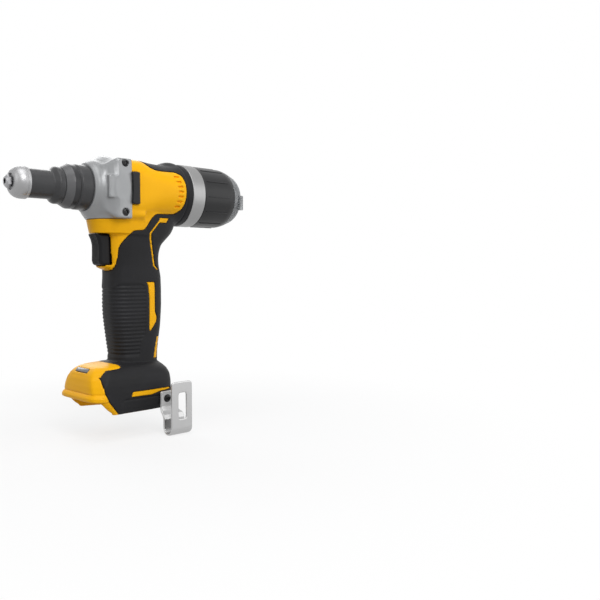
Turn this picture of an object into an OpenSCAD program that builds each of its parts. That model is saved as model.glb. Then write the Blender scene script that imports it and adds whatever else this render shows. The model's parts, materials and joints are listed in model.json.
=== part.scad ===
// Battery rivet tool: hollow-shaft motor, planetary stage, ball screw and pulling jaws on one axis.
// The axis is X, the origin is the mouth of the nosepiece, +X runs to the rear and +Z is up.

/* [Nose] */
// Length of the nosepiece that stands out of the cap
tip_len = 6.5; // [5:0.5:9]
// Radius of the nosepiece across its corners
tip_r = 5.6; // [5:0.1:6.5]
// Radius of the nosepiece shank inside the cap
shank_r = 4.6; // [4.2:0.1:5]
// Radius of the bore that takes the rivet mandrel
mandrel_r = 2.2; // [1.8:0.1:2.4]
// Radius of the domed nose cap
cap_r = 14.8; // [14.4:0.1:16]
// Length of the nose cap
cap_len = 13.5; // [12:0.5:16]
// Radius of the round on the front of the nose cap
cap_round = 6; // [4:0.5:7]
// Outer radius of the nose tube
tube_r = 13.4; // [13:0.1:14]
// Bore radius of the nose tube
tube_bore_r = 10.3; // [10.25:0.05:10.6]
// Bare length of the nose tube behind the cap
tube_len = 21; // [18:0.5:24]
// Radius of the step on the nose tube
step_r = 17.3; // [16:0.1:19]
// Length of the step on the nose tube
step_len = 11; // [9:0.5:13]
// Radius of the nose adapter
adapter_r = 21; // [20:0.1:22]
// Length of the nose adapter in front of the collar
adapter_len = 11; // [9:0.5:13]
// Radius of the sleeve behind the nose adapter
spigot_r = 17; // [16.5:0.1:18]
// Radius of the collar nut
collar_r = 22; // [21:0.1:23]
// Length of the collar nut
collar_len = 13; // [11:0.5:15]

/* [Gear case] */
// Radius of the gear case where it meets the collar
case_nose_r = 24.5; // [23.5:0.1:26]
// Radius of the round rear of the gear case
case_r = 31; // [29:0.1:31]
// Length of the round part of the gear case
case_len = 22; // [20:0.5:26]
// Length of the square flange
flange_len = 11; // [9:0.5:14]
// Half width of the square flange
flange_hw = 33; // [33:0.1:34]
// Height of the top of the flange above the axis
flange_top = 31; // [31:0.1:32]
// Corner radius of the flange
flange_round = 12; // [9:0.5:14]
// Radius of the bearing bore in the gear case
bearing_bore_r = 21; // [20.5:0.1:22]

/* [Body] */
// Length of the motor housing from the flange to the rear band
body_len = 63; // [60:0.5:70]
// Half width of the motor housing
body_hw = 33.5; // [33:0.1:35]
// Height of the top of the motor housing above the axis
body_top = 32; // [31.5:0.1:34]
// Radius of the cavity in the motor housing
cavity_r = 28.5; // [28:0.1:29]
// Length of the rear band
band_len = 11; // [9:0.5:13]
// Radius of the rear band
band_r = 33.5; // [33:0.1:35]
// Length of the silver rear ring
ring_len = 15; // [13:0.5:17]
// Radius of the silver rear ring
ring_r = 32; // [31:0.1:33]

/* [Collector] */
// Radius of the mandrel collector
cup_r = 30; // [29:0.1:31]
// Length of the black part of the collector
cup_len = 40; // [34:0.5:46]
// Wall of the collector
cup_wall = 2.5; // [2:0.1:3]
// Radius of the clear end cap
end_r = 26.5; // [24:0.1:28]
// Length of the clear end cap behind the collector
end_len = 15; // [12:0.5:18]
// Angle that the collector turns in its bayonet
twist_deg = 35; // [25:1:45]

/* [Handle] */
// Front of the neck above the trigger
neck_front = 79; // [77:0.5:81]
// Place of the handle's middle along the axis
grip_x = 127.5; // [126:0.5:129]
// Depth of the grip from front to back
grip_depth = 56; // [54:0.5:58]
// Half width of the grip
grip_hw = 20; // [19:0.1:21]
// Height of the grip's waist below the axis
grip_z = 104; // [100:1:108]
// Thickness of the rubber skin on the grip
skin = 2.5; // [2:0.1:3]
// Wall of the housing shells
wall = 2.5; // [2.2:0.1:2.8]

/* [Foot] */
// Height of the top of the foot below the axis
foot_top = 176; // [172:1:180]
// Height of the foot
foot_h = 42; // [40:0.5:46]
// Half width of the foot
foot_hw = 36; // [35:0.1:38]
// Front of the foot
foot_front = 66; // [63:0.5:69]
// Back of the foot
foot_back = 156; // [154:0.5:159]
// Half width of the battery channel
channel_hw = 27; // [25:0.1:28]
// Height of the battery channel
channel_h = 14; // [12:0.5:15]
// Length of the battery channel
channel_len = 64; // [60:0.5:68]
// Width of each rail lip under the channel
lip_w = 4; // [3:0.1:5]
// Height of each rail lip
lip_h = 4.5; // [4:0.1:5]

/* [Trigger] */
// Height of the trigger's top below the axis
trigger_top = 44.5; // [44:0.5:46]
// Height of the trigger
trigger_h = 28; // [26:0.5:30]
// Half width of the trigger
trigger_hw = 9; // [8:0.1:10]
// Travel of the trigger
trigger_travel = 7; // [5:0.5:8]

/* [Belt hook] */
// Width of the hook's strip
hook_w = 24; // [20:0.5:26]
// Thickness of the hook's strip
hook_t = 2; // [1.6:0.1:2.4]
// Gap between the hook's two legs
hook_gap = 17; // [15:0.5:19]
// Depth of the hook below the foot
hook_drop = 22; // [19:0.5:25]
// Height of the hook's outer leg
hook_leg = 49; // [44:0.5:52]

/* [Drive] */
// Stroke of the pulling jaws
stroke = 25; // [20:0.5:25]
// Radius of the ball screw
screw_r = 8; // [7.6:0.1:8.2]
// Radius of the ball nut
nut_r = 13.5; // [13:0.1:14]
// Gear module
gear_m = 0.8; // [0.78:0.01:0.8]
// Width of the gears
gear_w = 7; // [6:0.5:8]
// Length of the stator stack
stator_len = 20; // [18:0.5:21]
// Outer radius of the motor shaft
shaft_r = 5; // [4.8:0.05:5.1]

/* [Hidden] */
$fn = 64;
// How far every cut runs past the face that it opens
cut = 1;
// Radial clearance of a running fit, and the gap between moving curved faces
fit = 0.05;
gap = 0.3;

// Stations along the axis
cap_x0 = tip_len;
cap_x1 = cap_x0 + cap_len;
step_x0 = cap_x1 + tube_len;
adapter_x0 = step_x0 + step_len;
collar_x0 = adapter_x0 + adapter_len;
case_x0 = collar_x0 + collar_len;
flange_x0 = case_x0 + case_len;
body_x0 = flange_x0 + flange_len;
band_x0 = body_x0 + body_len;
ring_x0 = band_x0 + band_len;
cup_x0 = ring_x0 + ring_len;
end_x0 = cup_x0 + cup_len;
end_x1 = end_x0 + end_len;

// Jaw group: sizes and stations, at rest
jaw_case_r = tube_bore_r - gap;
jaw_case_len = 31;
jaw_wall = 1.2;
jaw_mouth_r = 4.6;
jaw_angle = 12;
jaw_front_gap = 1.6;
jaw_len = 9.5;
jaw_travel = 1.2;
jaw_bore_r = 1.9;
jaw_seat_gap = 0.25;
jaw_side_gap = 0.5;
pusher_len = 6.5;
jaw_bore_inner_r = 7.4;
spring_wire_r = 0.45;
spring_turns = 4;
lock_nut_len = 4.8;
guide_pin_r = 1.8;
guide_pin_reach = 2.4;
jaw_case_gap = 1;
jaw_case_x0 = cap_x1 + jaw_case_gap;
jaw_case_x1 = jaw_case_x0 + jaw_case_len;
cone_x0 = jaw_case_x0 + jaw_wall;
cone_x1 = cone_x0 + jaw_front_gap + jaw_len + jaw_wall;
jaw_x0 = cone_x0 + jaw_front_gap;
jaw_x1 = jaw_x0 + jaw_len;
pusher_x0 = jaw_x1 + gap;
pusher_x1 = pusher_x0 + pusher_len;
pusher_r = jaw_mouth_r + (pusher_x0 - jaw_travel - cone_x0) * tan(jaw_angle) - gap;
spring_x0 = pusher_x1 + spring_wire_r;
stud_r = 6;
stud_len = 11;
screw_x0 = jaw_case_x1 + lock_nut_len + 2 * gap;
stud_x0 = screw_x0 - stud_len;
spring_x1 = stud_x0 - spring_wire_r;
guide_pin_x = jaw_case_x1 - 2 * guide_pin_r;

// Ball nut, thrust bearing and carrier stations
spigot_in_case = 4;
seat_wall = 4;
washer_t = 2;
thrust_ball_r = 1.9;
thrust_gap = 2 * thrust_ball_r + 4 * fit;
nut_flange_t = 3;
nut_flange_r = 19;
nut_tail = 8;
seat_x = case_x0 + spigot_in_case + seat_wall;
thrust_x1 = seat_x + 2 * washer_t + thrust_gap;
nut_x0 = seat_x + washer_t / 2;
nut_flange_x1 = thrust_x1 + nut_flange_t;
nut_x1 = nut_flange_x1 + nut_tail;
nut_bore_gap = 0.4;
nut_ball_r = 1.4;
nut_ball_count = 14;
thrust_ball_count = 16;
carrier_plate_t = 3;
carrier_wall = 3;
carrier_bore_r = screw_r + 4 * gap;
carrier_r = carrier_bore_r + 3 * carrier_wall;

// Planetary stage: a sun, three planets and a fixed ring gear
sun_teeth = 18;
planet_teeth = 18;
ring_teeth = sun_teeth + 2 * planet_teeth;
planet_count = 3;
pressure_angle = 20;
backlash = 0.07;
flank_steps = 5;
addendum_share = 1;
dedendum_share = 1.25;
orbit_r = gear_m * (sun_teeth + planet_teeth) / 2;
planet_pin_r = 2;
ring_gear_wall = 3.2;
ring_gear_r = gear_m * (ring_teeth / 2 + dedendum_share) + ring_gear_wall;
sleeve_r = cavity_r - gap;

// Motor stations, worked out from the rear bracket forwards; the ball screw takes the room that is left
plate_t = 4;
coil_over = 3.5;
fan_t = 5;
bracket_lead = 10.4;
bracket_x0 = band_x0 + bracket_lead;
bracket_x1 = bracket_x0 + plate_t;
fan_x1 = bracket_x0 - 3 * gap;
fan_x0 = fan_x1 - fan_t;
stator_x1 = fan_x0 - 3 * gap - coil_over;
stator_x0 = stator_x1 - stator_len;
plate_x1 = stator_x0 - coil_over;
plate_x0 = plate_x1 - plate_t;
gear_x1 = plate_x0 - 3 * washer_t / 2;
gear_x0 = gear_x1 - gear_w;
carrier_x1 = gear_x0 - 2 * gap;
screw_x1 = carrier_x1 - carrier_plate_t - stroke - 2 * gap;
shaft_x0 = gear_x0 - gap;
shaft_x1 = bracket_x1 + gap;
rotor_r = 16;
magnet_t = 1.6;
air_gap = 0.6;
stator_bore_r = rotor_r + air_gap;
stator_back = 5;
tooth_w = 7;
pole_count = 6;
coil_w = 2.4;
bearing_wall = 2;
bearing_r = shaft_r + 3 * bearing_wall;
fan_r = 24;
fan_blades = 11;
liner_r = 2.9;
liner_reach = 1.4;
liner_x0 = screw_x1 - stud_len;
liner_x1 = cup_x0 + liner_reach;

// Handle, foot and trigger places
foot_z = -foot_top;
foot_bottom = foot_z - foot_h;
trigger_z0 = -trigger_top - trigger_h;
trigger_inset = 3.5;
trigger_len = 17;
trigger_front = neck_front + trigger_inset;
trigger_rear = trigger_front + trigger_len;
trigger_stem_r = 3;
trigger_stem_len = 12;
switch_x0 = trigger_rear + trigger_travel + 3 * gap;
switch_len = 30;
switch_clear = 2.2;
switch_drop = 2;
switch_hw = grip_hw - skin - wall - switch_clear;
switch_h = trigger_h - switch_drop;
switch_z0 = trigger_z0 + (trigger_h - switch_h) / 2;
hook_tab_w = 14;
hook_inset = 7.5;
hook_screw_rise = 10;
hook_x = foot_back - hook_inset;
hook_screw_x = hook_x - (hook_w - hook_tab_w) / 2;
hook_screw_z = foot_bottom + hook_screw_rise;
hook_screw_r = 2;
hook_head_r = 4;
hook_head_t = 2.2;
hook_boss_len = 8;
hook_insert_r = 3.6;
hook_y0 = -foot_hw - gap;

// Screws of the flange and of the shells
flange_screw_r = 2;
flange_head_r = 3.6;
flange_head_t = 2.4;
flange_screw_inset = 7;
flange_screw_y = flange_hw - flange_screw_inset;
flange_screw_z = flange_top - flange_screw_inset;
shell_screw_r = 1.5;

// A solid of revolution about the axis, from points [x, radius]
module lathe(points) {
    rotate([0, 90, 0])
        rotate_extrude(convexity = 6)
            polygon([for (p = points) [p[1], p[0]]]);
}

// A plain round bar, and a ring, along the axis
module bar(x0, x1, r) {
    translate([x0, 0, 0])
        rotate([0, 90, 0])
            cylinder(h = x1 - x0, r = r);
}
module ring(x0, x1, r, bore) {
    difference() {
        bar(x0, x1, r);
        bar(x0 - cut, x1 + cut, bore);
    }
}

// A ring of balls round the axis
module balls(x, pitch_r, r, count) {
    for (i = [0:count - 1])
        rotate([i * 360 / count, 0, 0])
            translate([x, pitch_r, 0])
                sphere(r = r, $fn = 24);
}

// Involute gear outline: the tooth's half angle at a radius follows from the involute function
function involute(r, base) = tan(acos(base / r)) * 180 / PI - acos(base / r);
function half_tooth(r, base, teeth, play) =
    90 / teeth - play + involute(base / cos(pressure_angle), base) - involute(max(r, base), base);
function tooth(root, top, base, teeth, play, turn) =
    let (radii = [for (i = [0:flank_steps]) root + (top - root) * i / flank_steps])
    concat([for (r = radii) let (a = turn - half_tooth(r, base, teeth, play)) r * [cos(a), sin(a)]],
        [for (i = [flank_steps:-1:0])
            let (a = turn + half_tooth(radii[i], base, teeth, play)) radii[i] * [cos(a), sin(a)]]);
function gear_outline(teeth, above, below, play) =
    let (pitch_r = gear_m * teeth / 2, base = pitch_r * cos(pressure_angle))
    [for (i = [0:teeth - 1])
        each tooth(pitch_r - gear_m * below, pitch_r + gear_m * above, base, teeth,
            play / pitch_r * 180 / PI, i * 360 / teeth)];
module gear(teeth, x0, x1, bore) {
    translate([x0, 0, 0])
        rotate([0, 90, 0])
            difference() {
                linear_extrude(x1 - x0)
                    polygon(gear_outline(teeth, addendum_share, dedendum_share, backlash));
                translate([0, 0, -cut])
                    cylinder(h = x1 - x0 + 2 * cut, r = bore);
            }
}

// A coil spring along the axis, swept as one tube with closed ends
function coil_ring(x0, x1, r, turns, wire, steps, i) =
    let (a = 360 * turns * i / steps, x = x0 + (x1 - x0) * i / steps)
    [for (k = [0:5]) let (w = 60 * k, q = r + wire * cos(w)) [x + wire * sin(w), q * cos(a), q * sin(a)]];
module coil(x0, x1, r, turns, wire) {
    steps = 12 * turns;
    points = [for (i = [0:steps]) each coil_ring(x0, x1, r, turns, wire, steps, i)];
    sides = [for (i = [0:steps - 1], k = [0:5])
        each let (a = 6 * i + k, b = 6 * i + (k + 1) % 6) [[a, b, b + 6], [a, b + 6, a + 6]]];
    polyhedron(points, concat(sides, [[5, 4, 3, 2, 1, 0]], [[for (k = [0:5]) 6 * steps + k]]),
        convexity = 8);
}

// A soft-cornered outline of half sizes a and b: a power of 2 is an ellipse, more is squarer
side_count = 28;
function soft(v, power) = sign(v) * pow(abs(v), 2 / power);
function soft_ring(a, b, power) =
    [for (i = [0:side_count - 1]) let (t = 360 * i / side_count) [a * soft(cos(t), power), b * soft(sin(t), power)]];

// A skin over rings of points, each ring convex and listed the same way round
module loft(rings) {
    n = len(rings[0]);
    sides = [for (i = [0:n - 1])
        each let (b = (i + 1) % n) [[i, b, b + n], [i, b + n, i + n]]];
    faces = concat(sides, [[for (i = [n - 1:-1:0]) i]], [[for (i = [0:n - 1]) n + i]]);
    for (j = [0:len(rings) - 2])
        hull()
            polyhedron(concat(rings[j], rings[j + 1]), faces);
}

// Upright sections [z, front, back, half width, power]; inset draws every side in
function upright(s, inset) =
    [for (p = soft_ring((s[2] - s[1]) / 2 - inset, s[3] - inset, s[4])) [p[0] + (s[1] + s[2]) / 2, -p[1], s[0]]];

// Neck, from the motor housing down to the trigger
neck_inset = 6;
tail_inset = 4;
tail_low_inset = 3;
neck_hw = body_hw - neck_inset;
neck_low_hw = grip_hw + wall;
tail_x = ring_x0 - tail_inset;
tail_low_x = band_x0 - tail_low_inset;
neck_sections = [
    [-case_r / 6, neck_front, band_x0, neck_hw, 4],
    [skin - band_r, neck_front + wall / 2, tail_x, neck_hw - wall, 4],
    [-trigger_top + wall / 2, neck_front + wall, tail_low_x, neck_low_hw, 4]];

// Grip and foot, from under the neck down to the battery channel
grip_half = grip_depth / 2;
web = 10;
grip_sections = [
    [-trigger_top + web, trigger_rear - wall, tail_low_x - skin, grip_hw + skin, 4],
    [-trigger_top - web, trigger_rear - wall, grip_x + grip_half + web / 2, grip_hw + skin / 2, 3.4],
    [trigger_z0 - wall, grip_x - grip_half, grip_x + grip_half, grip_hw, 3],
    [-grip_z, grip_x - grip_half, grip_x + grip_half, grip_hw, 3],
    [-(grip_z + foot_top) / 2, grip_x - grip_half + wall / 2, grip_x + grip_half - wall / 2, grip_hw, 3],
    [foot_z + 2 * web, grip_x - grip_half + wall, grip_x + grip_half - 2 * wall, grip_hw - wall / 2, 3]];
foot_round = 10;
foot_sections = [
    [foot_z + 2 * web, grip_x - grip_half + wall, grip_x + grip_half - 2 * wall, grip_hw - wall / 2, 3],
    [foot_z + web / 2, grip_x - grip_half, grip_x + grip_half - wall, grip_hw + wall, 3],
    [foot_z, foot_front + 2 * foot_round, foot_back - wall, foot_hw - foot_round, 4],
    [foot_z - foot_round / 2, foot_front + foot_round / 2, foot_back - wall / 2, foot_hw - wall, 5],
    [foot_z - foot_h / 2, foot_front, foot_back, foot_hw, 6],
    [foot_bottom + foot_round, foot_front + wall / 2, foot_back - wall / 2, foot_hw, 6],
    [foot_bottom, foot_front + foot_round / 2, foot_back - foot_round, foot_hw - wall, 6]];
module neck_form(inset) {
    loft([for (s = neck_sections) upright(s, inset)]);
}
module grip_form(inset) {
    loft([for (s = grip_sections) upright(s, inset)]);
}
module foot_form(inset) {
    loft([for (s = foot_sections) upright(s, inset)]);
}

// Motor housing: square-shouldered at the flange, round at the rear band
module barrel_form() {
    sections = [
        [body_x0, flange_hw, flange_top, 4.2],
        [body_x0 + body_len / 4, body_hw, body_top, 3.6],
        [body_x0 + body_len * 3 / 4, body_hw, body_top, 2.6],
        [band_x0, ring_r, ring_r, 2.1]];
    loft([for (s = sections) [for (p = soft_ring(s[1], s[2], s[3])) [s[0], p[0], p[1]]]]);
}

// Side outline of the rubber skin: from under the trigger, up the web, and down over the foot
module skin_area() {
    far = end_x1;
    points = [
        [neck_front, trigger_z0 - 2 * skin],
        [trigger_rear, trigger_z0 + wall],
        [trigger_rear + 2 * foot_round, -trigger_top - skin],
        [far, -trigger_top - skin],
        [far, foot_bottom + 3 * lip_h],
        [foot_front + 2 * foot_round, foot_bottom + 3 * lip_h],
        [foot_front + foot_round, foot_z - foot_round / 2],
        [foot_front + 3 * foot_round, foot_z + skin],
        [neck_front, foot_z + web]];
    rotate([90, 0, 0])
        linear_extrude(4 * foot_hw, center = true)
            polygon(points);
}

// Everything on the left of the middle plane
module left_side() {
    translate([-cut, -2 * foot_hw, -2 * foot_top])
        cube([2 * end_x1, 2 * foot_hw, 3 * foot_top]);
}

// Battery channel under the foot, with a lip along each side
module battery_channel() {
    x0 = foot_front - cut;
    len = channel_len + cut;
    translate([x0, -channel_hw, foot_bottom + lip_h])
        cube([len, 2 * channel_hw, channel_h - lip_h]);
    translate([x0, -channel_hw + lip_w, foot_bottom - cut])
        cube([len, 2 * (channel_hw - lip_w), channel_h]);
}

// Pocket in which the trigger slides
module trigger_pocket() {
    translate([neck_front - cut, -trigger_hw - gap, trigger_z0 - gap])
        cube([trigger_rear + trigger_travel - neck_front + 2 * cut, 2 * (trigger_hw + gap), trigger_h + 2 * gap]);
}

// Room inside the shells for the drive, the switch and the board
board_t = 2;
board_gap = 4;
board_hw = foot_hw - skin - wall - board_gap;
board_room = 9;
floor_z = foot_bottom + channel_h + wall;
module shell_room() {
    bar(body_x0 - cut, ring_x0, cavity_r);
    bar(neck_front - cut, body_x0, case_r + gap);
    bar(band_x0, ring_x0 + band_len, band_r + gap);
    translate([flange_x0 - gap, 0, 0])
        rotate([90, 0, 90])
            linear_extrude(flange_len + gap)
                flange_outline(2 * gap);
    flange_places()
        bar(neck_front - cut, flange_x0, flange_head_r + gap);
    intersection() {
        union() {
            grip_form(skin + wall);
            neck_form(2 * wall);
        }
        translate([switch_x0 - 2 * cut, -grip_hw, foot_z])
            cube([switch_len + 3 * web / 2, 2 * grip_hw, foot_top - case_r + web / 2]);
    }
    translate([switch_x0 - gap, -switch_hw - gap, switch_z0 - gap])
        cube([switch_len + 2 * gap, 2 * (switch_hw + gap), switch_h + 2 * gap]);
    intersection() {
        foot_form(skin + wall);
        translate([0, -foot_hw, floor_z])
            cube([end_x1, 2 * foot_hw, foot_top]);
    }
}

// Rubber bumpers, each in a pocket behind the flange
bumper_seat = 1.5;
bumper_t = 4.5;
bumper_len = 7.3;
bumper_h = 34;
module bumper_block(side, extra) {
    y = side * (flange_hw - bumper_seat + bumper_t / 2);
    translate([body_x0 - 2 * extra, y - bumper_t / 2 - extra, -bumper_h / 2 - extra])
        cube([bumper_len + 3 * extra, bumper_t + 2 * extra, bumper_h + 2 * extra]);
}

// Lip of the housing under the trigger
guard_sections = [
    [trigger_z0 - gap, trigger_front + wall, trigger_rear + wall, trigger_hw + wall, 3],
    [trigger_z0 - skin, trigger_front + 2 * wall, trigger_rear + wall, trigger_hw + wall / 2, 3],
    [trigger_z0 - 2 * skin, trigger_front + 4 * wall, trigger_rear, trigger_hw - wall, 3]];
module guard_form() {
    loft([for (g = guard_sections) upright(g, 0)]);
}

// Shell screws [x, z, reach of the boss to either side]
shell_boss_r = 4;
foot_boss_reach = foot_hw - 2 * skin - wall / 4;
shell_screw_places = [
    [switch_x0 + switch_len + 2 * shell_boss_r, -trigger_top - web, grip_hw - 2 * skin],
    [grip_x, -(grip_z + foot_top) / 2, grip_hw - skin - wall / 2],
    [foot_back - 2 * foot_round, foot_z - foot_round, foot_boss_reach],
    [foot_front + 2 * foot_round, foot_z - foot_round, foot_boss_reach]];
module across(p, reach, r) {
    translate([p[0], 0, p[1]])
        rotate([90, 0, 0])
            cylinder(h = 2 * reach, r = r, center = true, $fn = 24);
}
module screw_holes() {
    for (p = shell_screw_places)
        across(p, grip_hw / 2 + fit, shell_screw_r + 2 * fit);
}

module shell_half() {
    color("gold")
        difference() {
            intersection() {
                union() {
                    difference() {
                        union() {
                            barrel_form();
                            neck_form(0);
                            guard_form();
                            difference() {
                                union() {
                                    grip_form(0);
                                    foot_form(0);
                                }
                                skin_area();
                            }
                            grip_form(skin);
                            foot_form(skin);
                        }
                        shell_room();
                    }
                    for (p = shell_screw_places)
                        across(p, p[2], shell_boss_r);
                }
                left_side();
            }
            screw_holes();
            battery_channel();
            trigger_pocket();
            bumper_block(-1, fit);
        }
}

module left_housing() {
    difference() {
        shell_half();
        hook_hole(-1);
        led_seat();
    }
}
module right_housing() {
    difference() {
        mirror([0, 1, 0])
            shell_half();
        hook_hole(1);
        led_seat();
    }
}

// Threaded inserts for the belt hook, one on either side of the foot
module hook_insert_place(side) {
    translate([hook_screw_x, side * -hook_y0, hook_screw_z])
        rotate([side * 90, 0, 0])
            children();
}
module hook_hole(side) {
    hook_insert_place(side)
        translate([0, 0, -cut])
            cylinder(h = hook_boss_len + 2 * cut, r = hook_insert_r + fit);
}
module hook_inserts() {
    color("#b99a52")
        for (side = [-1, 1])
            hook_insert_place(side)
                difference() {
                    cylinder(h = hook_boss_len, r = hook_insert_r);
                    translate([0, 0, -cut])
                        cylinder(h = hook_boss_len + 2 * cut, r = hook_screw_r);
                }
}

module grip_half_skin() {
    color("#2a2a2c")
        intersection() {
            difference() {
                union() {
                    grip_form(0);
                    foot_form(0);
                }
                grip_form(skin);
                foot_form(skin);
                neck_form(0);
                guard_form();
                trigger_pocket();
                battery_channel();
                hook_hole(-1);
                hook_hole(1);
                screw_holes();
            }
            skin_area();
            left_side();
        }
}
module left_grip() {
    grip_half_skin();
}
module right_grip() {
    mirror([0, 1, 0])
        grip_half_skin();
}

// Nose
module nosepiece() {
    tail_x = cap_x1 - gap;
    color("silver")
        difference() {
            union() {
                rotate([0, 90, 0])
                    cylinder(h = tip_len, r = tip_r, $fn = 6);
                bar(tip_len, tail_x, shank_r);
            }
            bar(-cut, tail_x + cut, mandrel_r);
        }
}
thread_wall = 1.6;
thread_r = tube_r - thread_wall;
thread_len = 6;
module nose_cap() {
    arc = [for (i = [0:8]) let (a = 90 * i / 8)
        [cap_x0 + cap_round * (1 - sin(a)), cap_r - cap_round * (1 - cos(a))]];
    color("silver")
        difference() {
            lathe(concat([[cap_x1, shank_r], [cap_x1, cap_r]], [for (i = [0:8]) arc[i]],
                [[cap_x0, shank_r]]));
            bar(cap_x1 - thread_len, cap_x1 + cut, thread_r);
        }
}
module nose_tube() {
    tube_end = case_x0 + spigot_in_case;
    slot_x0 = guide_pin_x - guide_pin_r - gap;
    slot_len = stroke + 2 * (guide_pin_r + gap);
    slot_hw = guide_pin_r + gap;
    slot_reach = jaw_case_r + guide_pin_reach + gap;
    color("#333335")
        difference() {
            union() {
                bar(cap_x1 - thread_len, cap_x1, thread_r);
                bar(cap_x1, tube_end, tube_r);
                bar(step_x0, adapter_x0, step_r);
            }
            bar(cap_x1 - thread_len - cut, tube_end + cut, tube_bore_r);
            translate([slot_x0, -slot_reach, -slot_hw])
                cube([slot_len, 2 * slot_reach, 2 * slot_hw]);
        }
}
module nose_adapter() {
    color("#38383a")
        difference() {
            union() {
                bar(adapter_x0, collar_x0, adapter_r);
                bar(collar_x0, case_x0 + spigot_in_case, spigot_r);
            }
            bar(adapter_x0 - cut, case_x0 + spigot_in_case + cut, tube_r);
        }
}
module collar_nut() {
    chamfer = collar_r / 12;
    color("#2c2c2e")
        lathe([[collar_x0, spigot_r], [collar_x0, collar_r - chamfer], [collar_x0 + chamfer, collar_r],
            [case_x0, collar_r], [case_x0, spigot_r]]);
}

// Gear case: a stepped round casting with a square flange at the back
module gear_case() {
    waist = case_nose_r + (case_r - case_nose_r) / 4;
    color("#b4b6b8")
        difference() {
            union() {
                lathe([[case_x0, 0], [case_x0, case_nose_r], [case_x0 + case_len / 4, case_nose_r],
                    [case_x0 + case_len / 3, waist], [case_x0 + case_len / 2, waist],
                    [case_x0 + case_len * 3 / 4, case_r], [flange_x0 + cut, case_r], [flange_x0 + cut, 0]]);
                translate([flange_x0, 0, 0])
                    rotate([90, 0, 90])
                        linear_extrude(flange_len)
                            flange_outline(0);
            }
            bar(case_x0 - cut, seat_x - seat_wall, spigot_r);
            bar(case_x0 - cut, seat_x + cut, tube_r);
            bar(seat_x, body_x0 + cut, bearing_bore_r);
            flange_places() {
                bar(flange_x0 - cut, body_x0 + cut, flange_screw_r);
                bar(case_x0, flange_x0, flange_head_r + gap);
            }
        }
}
module flange_outline(extra) {
    hull()
        for (y = [-1, 1], z = [-1, 1])
            translate([y * (flange_hw - flange_round), z * (flange_top - flange_round)])
                circle(r = flange_round + extra);
}
module flange_places() {
    for (y = [-1, 1], z = [-1, 1])
        translate([0, y * flange_screw_y, z * flange_screw_z])
            children();
}
module flange_screws() {
    color("#222224")
        flange_places() {
            bar(flange_x0 - flange_head_t, flange_x0, flange_head_r);
            bar(flange_x0, body_x0, flange_screw_r);
        }
}

// Jaw group
module jaw_case() {
    slope = tan(jaw_angle);
    cone_r1 = jaw_mouth_r + (cone_x1 - cone_x0) * slope;
    color("#8d8f92")
        difference() {
            lathe([[jaw_case_x0, jaw_mouth_r], [jaw_case_x0, jaw_case_r], [jaw_case_x1, jaw_case_r],
                [jaw_case_x1, stud_r], [stud_x0, stud_r], [stud_x0, jaw_bore_inner_r],
                [cone_x1, jaw_bore_inner_r], [cone_x1, cone_r1], [cone_x0, jaw_mouth_r]]);
            guide_pin_holes(guide_pin_r);
        }
}
module guide_pin_holes(r) {
    for (side = [-1, 1])
        translate([guide_pin_x, side * stud_r, 0])
            rotate([-side * 90, 0, 0])
                cylinder(h = jaw_case_r + guide_pin_reach - stud_r, r = r);
}
module jaw(index) {
    slope = tan(jaw_angle);
    front_r = jaw_mouth_r + (jaw_x0 - cone_x0) * slope - jaw_seat_gap;
    rear_r = front_r + jaw_len * slope;
    reach = 2 * jaw_case_r;
    color("#6f7174")
        rotate([index * 120, 0, 0])
            intersection() {
                lathe([[jaw_x0, jaw_bore_r], [jaw_x0, front_r], [jaw_x1, rear_r], [jaw_x1, jaw_bore_r]]);
                translate([jaw_x0 - cut, jaw_side_gap, 0])
                    rotate([90, 0, 90])
                        linear_extrude(jaw_len + 2 * cut)
                            polygon([[0, 0], reach * [cos(60), -sin(60)], [reach, 0], reach * [cos(60), sin(60)]]);
            }
}
module jaw_1() {
    jaw(0);
}
module jaw_2() {
    jaw(1);
}
module jaw_3() {
    jaw(2);
}
module jaw_pusher() {
    color("#9a9c9e")
        ring(pusher_x0, pusher_x1, pusher_r, mandrel_r + gap);
}
module jaw_spring() {
    color("#aaaaac")
        coil(spring_x0, spring_x1, (stud_r + mandrel_r + liner_r) / 2, spring_turns, spring_wire_r);
}
module jaw_lock_nut() {
    color("#77797c")
        difference() {
            translate([jaw_case_x1 + gap, 0, 0])
                rotate([0, 90, 0])
                    cylinder(h = lock_nut_len, r = jaw_case_r - gap, $fn = 6);
            bar(jaw_case_x1, screw_x0, stud_r);
        }
}
module guide_pins() {
    color("#55575a")
        guide_pin_holes(guide_pin_r);
}
module ball_screw() {
    color("#a4a6a9")
        difference() {
            union() {
                bar(stud_x0, screw_x0, stud_r);
                bar(screw_x0, screw_x1, screw_r);
            }
            bar(stud_x0 - cut, liner_x0 + cut, mandrel_r);
            bar(liner_x0, screw_x1 + cut, liner_r);
        }
}
module mandrel_tube() {
    color("#c8cacc")
        ring(liner_x0, liner_x1, liner_r, mandrel_r);
}

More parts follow.
